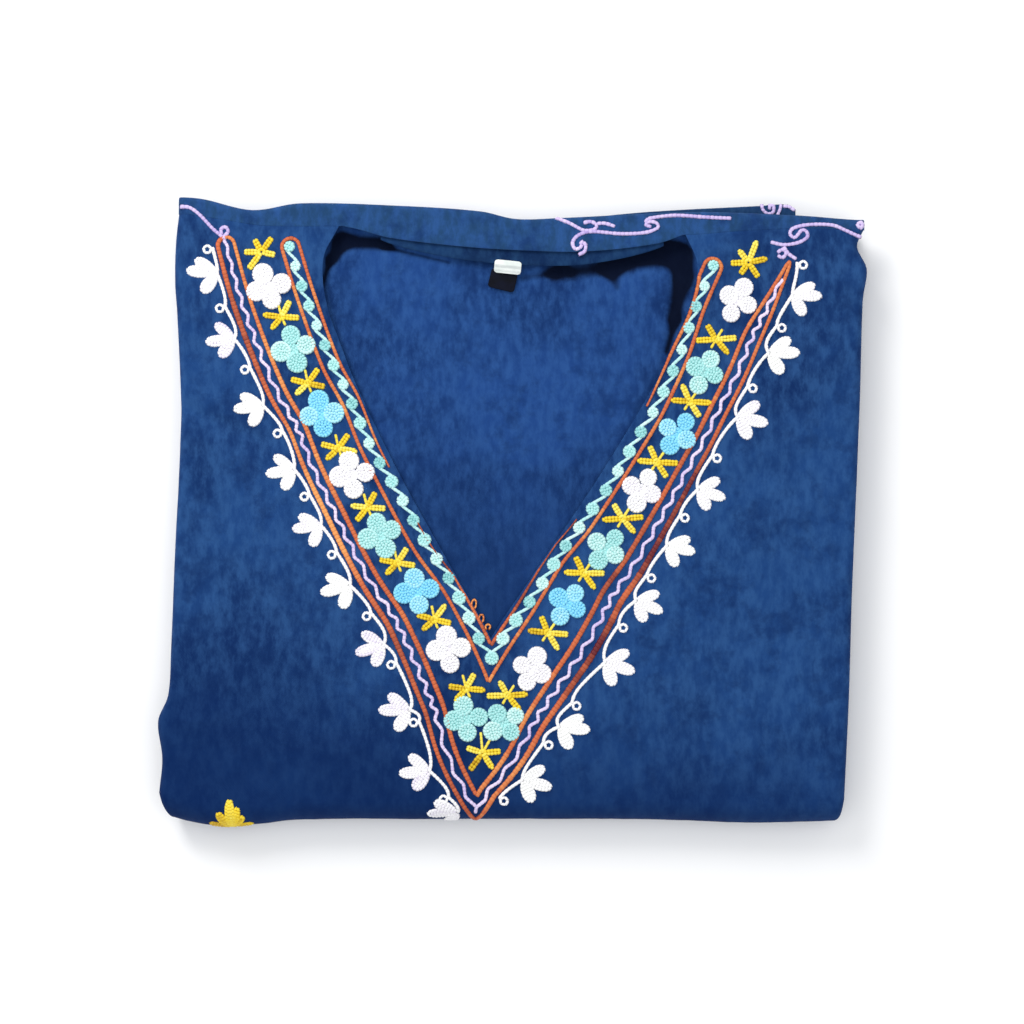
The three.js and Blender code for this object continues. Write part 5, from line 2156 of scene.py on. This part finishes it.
@dataclass(frozen=True)
class Studio:
    """A pale floor, soft light that comes mostly from beyond the neck, and a camera straight above."""

    view_width: float = 0.553  # metres of table across the picture
    lens: float = 100.0
    sensor: float = 36.0
    centre: tuple[float, float] = (0.00001, 0.0002)
    top: float = 0.026
    sky: float = 0.68  # strength of the light from all round

    def floor(self) -> None:
        """Lays the floor."""
        ground = bmesh.new()
        bmesh.ops.create_grid(ground, x_segments=1, y_segments=1, size=3.0)
        material, graph, shader = new_finish("pale floor")
        graph.fill(shader, {"Base Color": (0.985, 0.985, 0.985, 1.0), "Roughness": 0.9})
        finished("floor", ground, material)

    def light(self, name: str, place: Place, height: float, size: float, power: float, tint: Colour) -> None:
        """Hangs one soft light that points at the parcel.

        Args:
            name: The light's name.
            place: Where it hangs on the plan, in metres.
            height: How high.
            size: Its side.
            power: Its power in watts.
            tint: Its colour.
        """
        data = bpy.data.lights.new(name, "AREA")
        data.shape = "SQUARE"
        data.size = size
        data.energy = power
        data.color = tint
        lamp = bpy.data.objects.new(name, data)
        lamp.location = (*place, height)
        lamp.rotation_euler = (-lamp.location).to_track_quat("-Z", "Y").to_euler()
        bpy.context.scene.collection.objects.link(lamp)

    def camera(self) -> None:
        """Sets the camera straight above the parcel."""
        data = bpy.data.cameras.new("camera")
        data.lens = self.lens
        data.sensor_width = self.sensor
        data.sensor_fit = "HORIZONTAL"
        data.clip_start = 0.05
        camera = bpy.data.objects.new("camera", data)
        distance = self.view_width * self.lens / self.sensor
        camera.location = (*self.centre, self.top + distance)
        bpy.context.scene.collection.objects.link(camera)
        bpy.context.scene.camera = camera

    def build(self) -> None:
        """Builds the whole studio."""
        self.floor()
        self.camera()
        self.light("window", (-0.62, 0.98), height=0.9, size=0.6, power=12.5, tint=(1.0, 0.99, 0.97))
        self.light("overhead", (0.1, -0.1), height=1.6, size=1.8, power=8.0, tint=(0.97, 0.98, 1.0))
        world = bpy.data.worlds.new("room")
        world.use_nodes = True
        sky = world.node_tree.nodes["Background"]
        Graph(world.node_tree).fill(sky, {"Color": (0.95, 0.97, 1.0, 1.0), "Strength": self.sky})
        bpy.context.scene.world = world
        bpy.context.scene.view_settings.view_transform = "Standard"


# In these cottons, foot is a painted shade that darkens the cloth towards the bottom
FRONT_COTTON = Cotton(
    "front cotton", deep=srgb(15, 44, 93), plain=srgb(28, 65, 120), worn=srgb(45, 85, 138),
    foot=srgb(6, 35, 83), foot_shade_lean=0.16,
)
BACK_COTTON = Cotton(
    "back cotton", deep=srgb(17, 46, 96), plain=srgb(30, 66, 127), worn=srgb(44, 84, 144),
    foot=srgb(17, 46, 92), foot_shade_reach=(0.09, -0.07), foot_shade_share=0.75, yoke=srgb(33, 66, 104),
)
TRIM_COTTON = Cotton("binding cotton", srgb(12, 36, 74), srgb(20, 50, 92), srgb(34, 68, 108))
SLEEVE_COTTON = Cotton("sleeve cotton", srgb(20, 48, 88), srgb(31, 62, 102), srgb(46, 80, 120))
INNER_COTTON = Cotton("inner cotton", srgb(14, 38, 78), srgb(22, 52, 98), srgb(38, 72, 120))
WHITE_TAPE = Tape("white tape", full=srgb(244, 248, 244), shaded=srgb(222, 230, 226))
BLACK_TAPE = Tape("black tape", full=srgb(8, 12, 30), shaded=srgb(4, 6, 16))
THREADS = {
    Hue.WHITE: Thread("white thread", srgb(255, 255, 255), srgb(252, 250, 253), srgb(226, 214, 236)),
    Hue.IVORY: Thread("ivory thread", srgb(255, 255, 252), srgb(252, 250, 252), srgb(224, 214, 236)),
    Hue.AQUA: Thread("aqua thread", srgb(218, 248, 244), srgb(176, 232, 230), srgb(116, 192, 196)),
    Hue.BLUE: Thread("blue thread", srgb(192, 242, 252), srgb(140, 222, 250), srgb(92, 182, 234)),
    Hue.YELLOW: Thread("yellow thread", srgb(255, 244, 120), srgb(248, 218, 52), srgb(190, 142, 18)),
    Hue.ORANGE: Thread("orange thread", srgb(244, 164, 92), srgb(206, 104, 62), srgb(106, 32, 38)),
    Hue.LAVENDER: Thread("lavender thread", srgb(238, 224, 250), srgb(208, 188, 234), srgb(146, 122, 198)),
}


def dress(piece: Piece, node: str) -> None:
    """Puts a piece in the place of its solid.

    Args:
        piece: The piece.
        node: The solid that it stands for.
    """
    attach(piece, "root")
    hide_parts(node)
    report(piece)


def main() -> None:
    """Builds the kaftan and its studio."""
    logging.basicConfig(level=logging.INFO, format="%(message)s")
    Studio().build()
    weave, nap = weave_group(), nap_group()

    hidden = HiddenLayers().build(INNER_COTTON.material(weave, nap))
    dress(hidden, "hidden_layers")

    back_panel = BackPanel()
    back = back_panel.build(BACK_COTTON.material(weave, nap))
    dress(back, "back_panel")

    front_panel = FrontPanel()
    front = front_panel.build(FRONT_COTTON.material(weave, nap))
    dress(front, "front_panel")

    binding = NeckBinding(back_panel).build(TRIM_COTTON.material(weave, nap))
    dress(binding, "back_neck_binding")

    sleeve_cotton = SLEEVE_COTTON.material(weave, nap)
    right_fold = Curve(((20, 156.5), (69, 161.9), (134, 165.5), (149, 166.2), (154, 163.5)))
    left_fold = Curve(((-166, 163.5), (-140, 160.5), (-80, 163), (-20, 159)))
    right_sleeve = Sleeve("sleeve_right", right_fold)
    sleeves = [right_sleeve.build(sleeve_cotton), Sleeve("sleeve_left", left_fold).build(sleeve_cotton)]
    for piece, node in zip(sleeves, ("right_sleeve", "left_sleeve")):
        dress(piece, node)

    white_label = Label("label_white", -2.3, 131.6, turn=-0.1, length=7.0, depths=(0.15, 0.3, 1.7, 2.9))
    white = white_label.build(WHITE_TAPE.material(weave))
    dress(white, "white_label")
    black_label = Label("label_black", -5.0, 124.6, turn=-0.24, length=10.4, depths=(4.1, 4.1))
    black = black_label.build(BLACK_TAPE.material(weave))
    dress(black, "black_label")

    stitching = Embroidery(front_panel, back_panel, right_sleeve).build(THREADS)
    for piece in stitching:
        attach(piece, "root")
        report(piece)


if __name__ == "__main__":
    main()
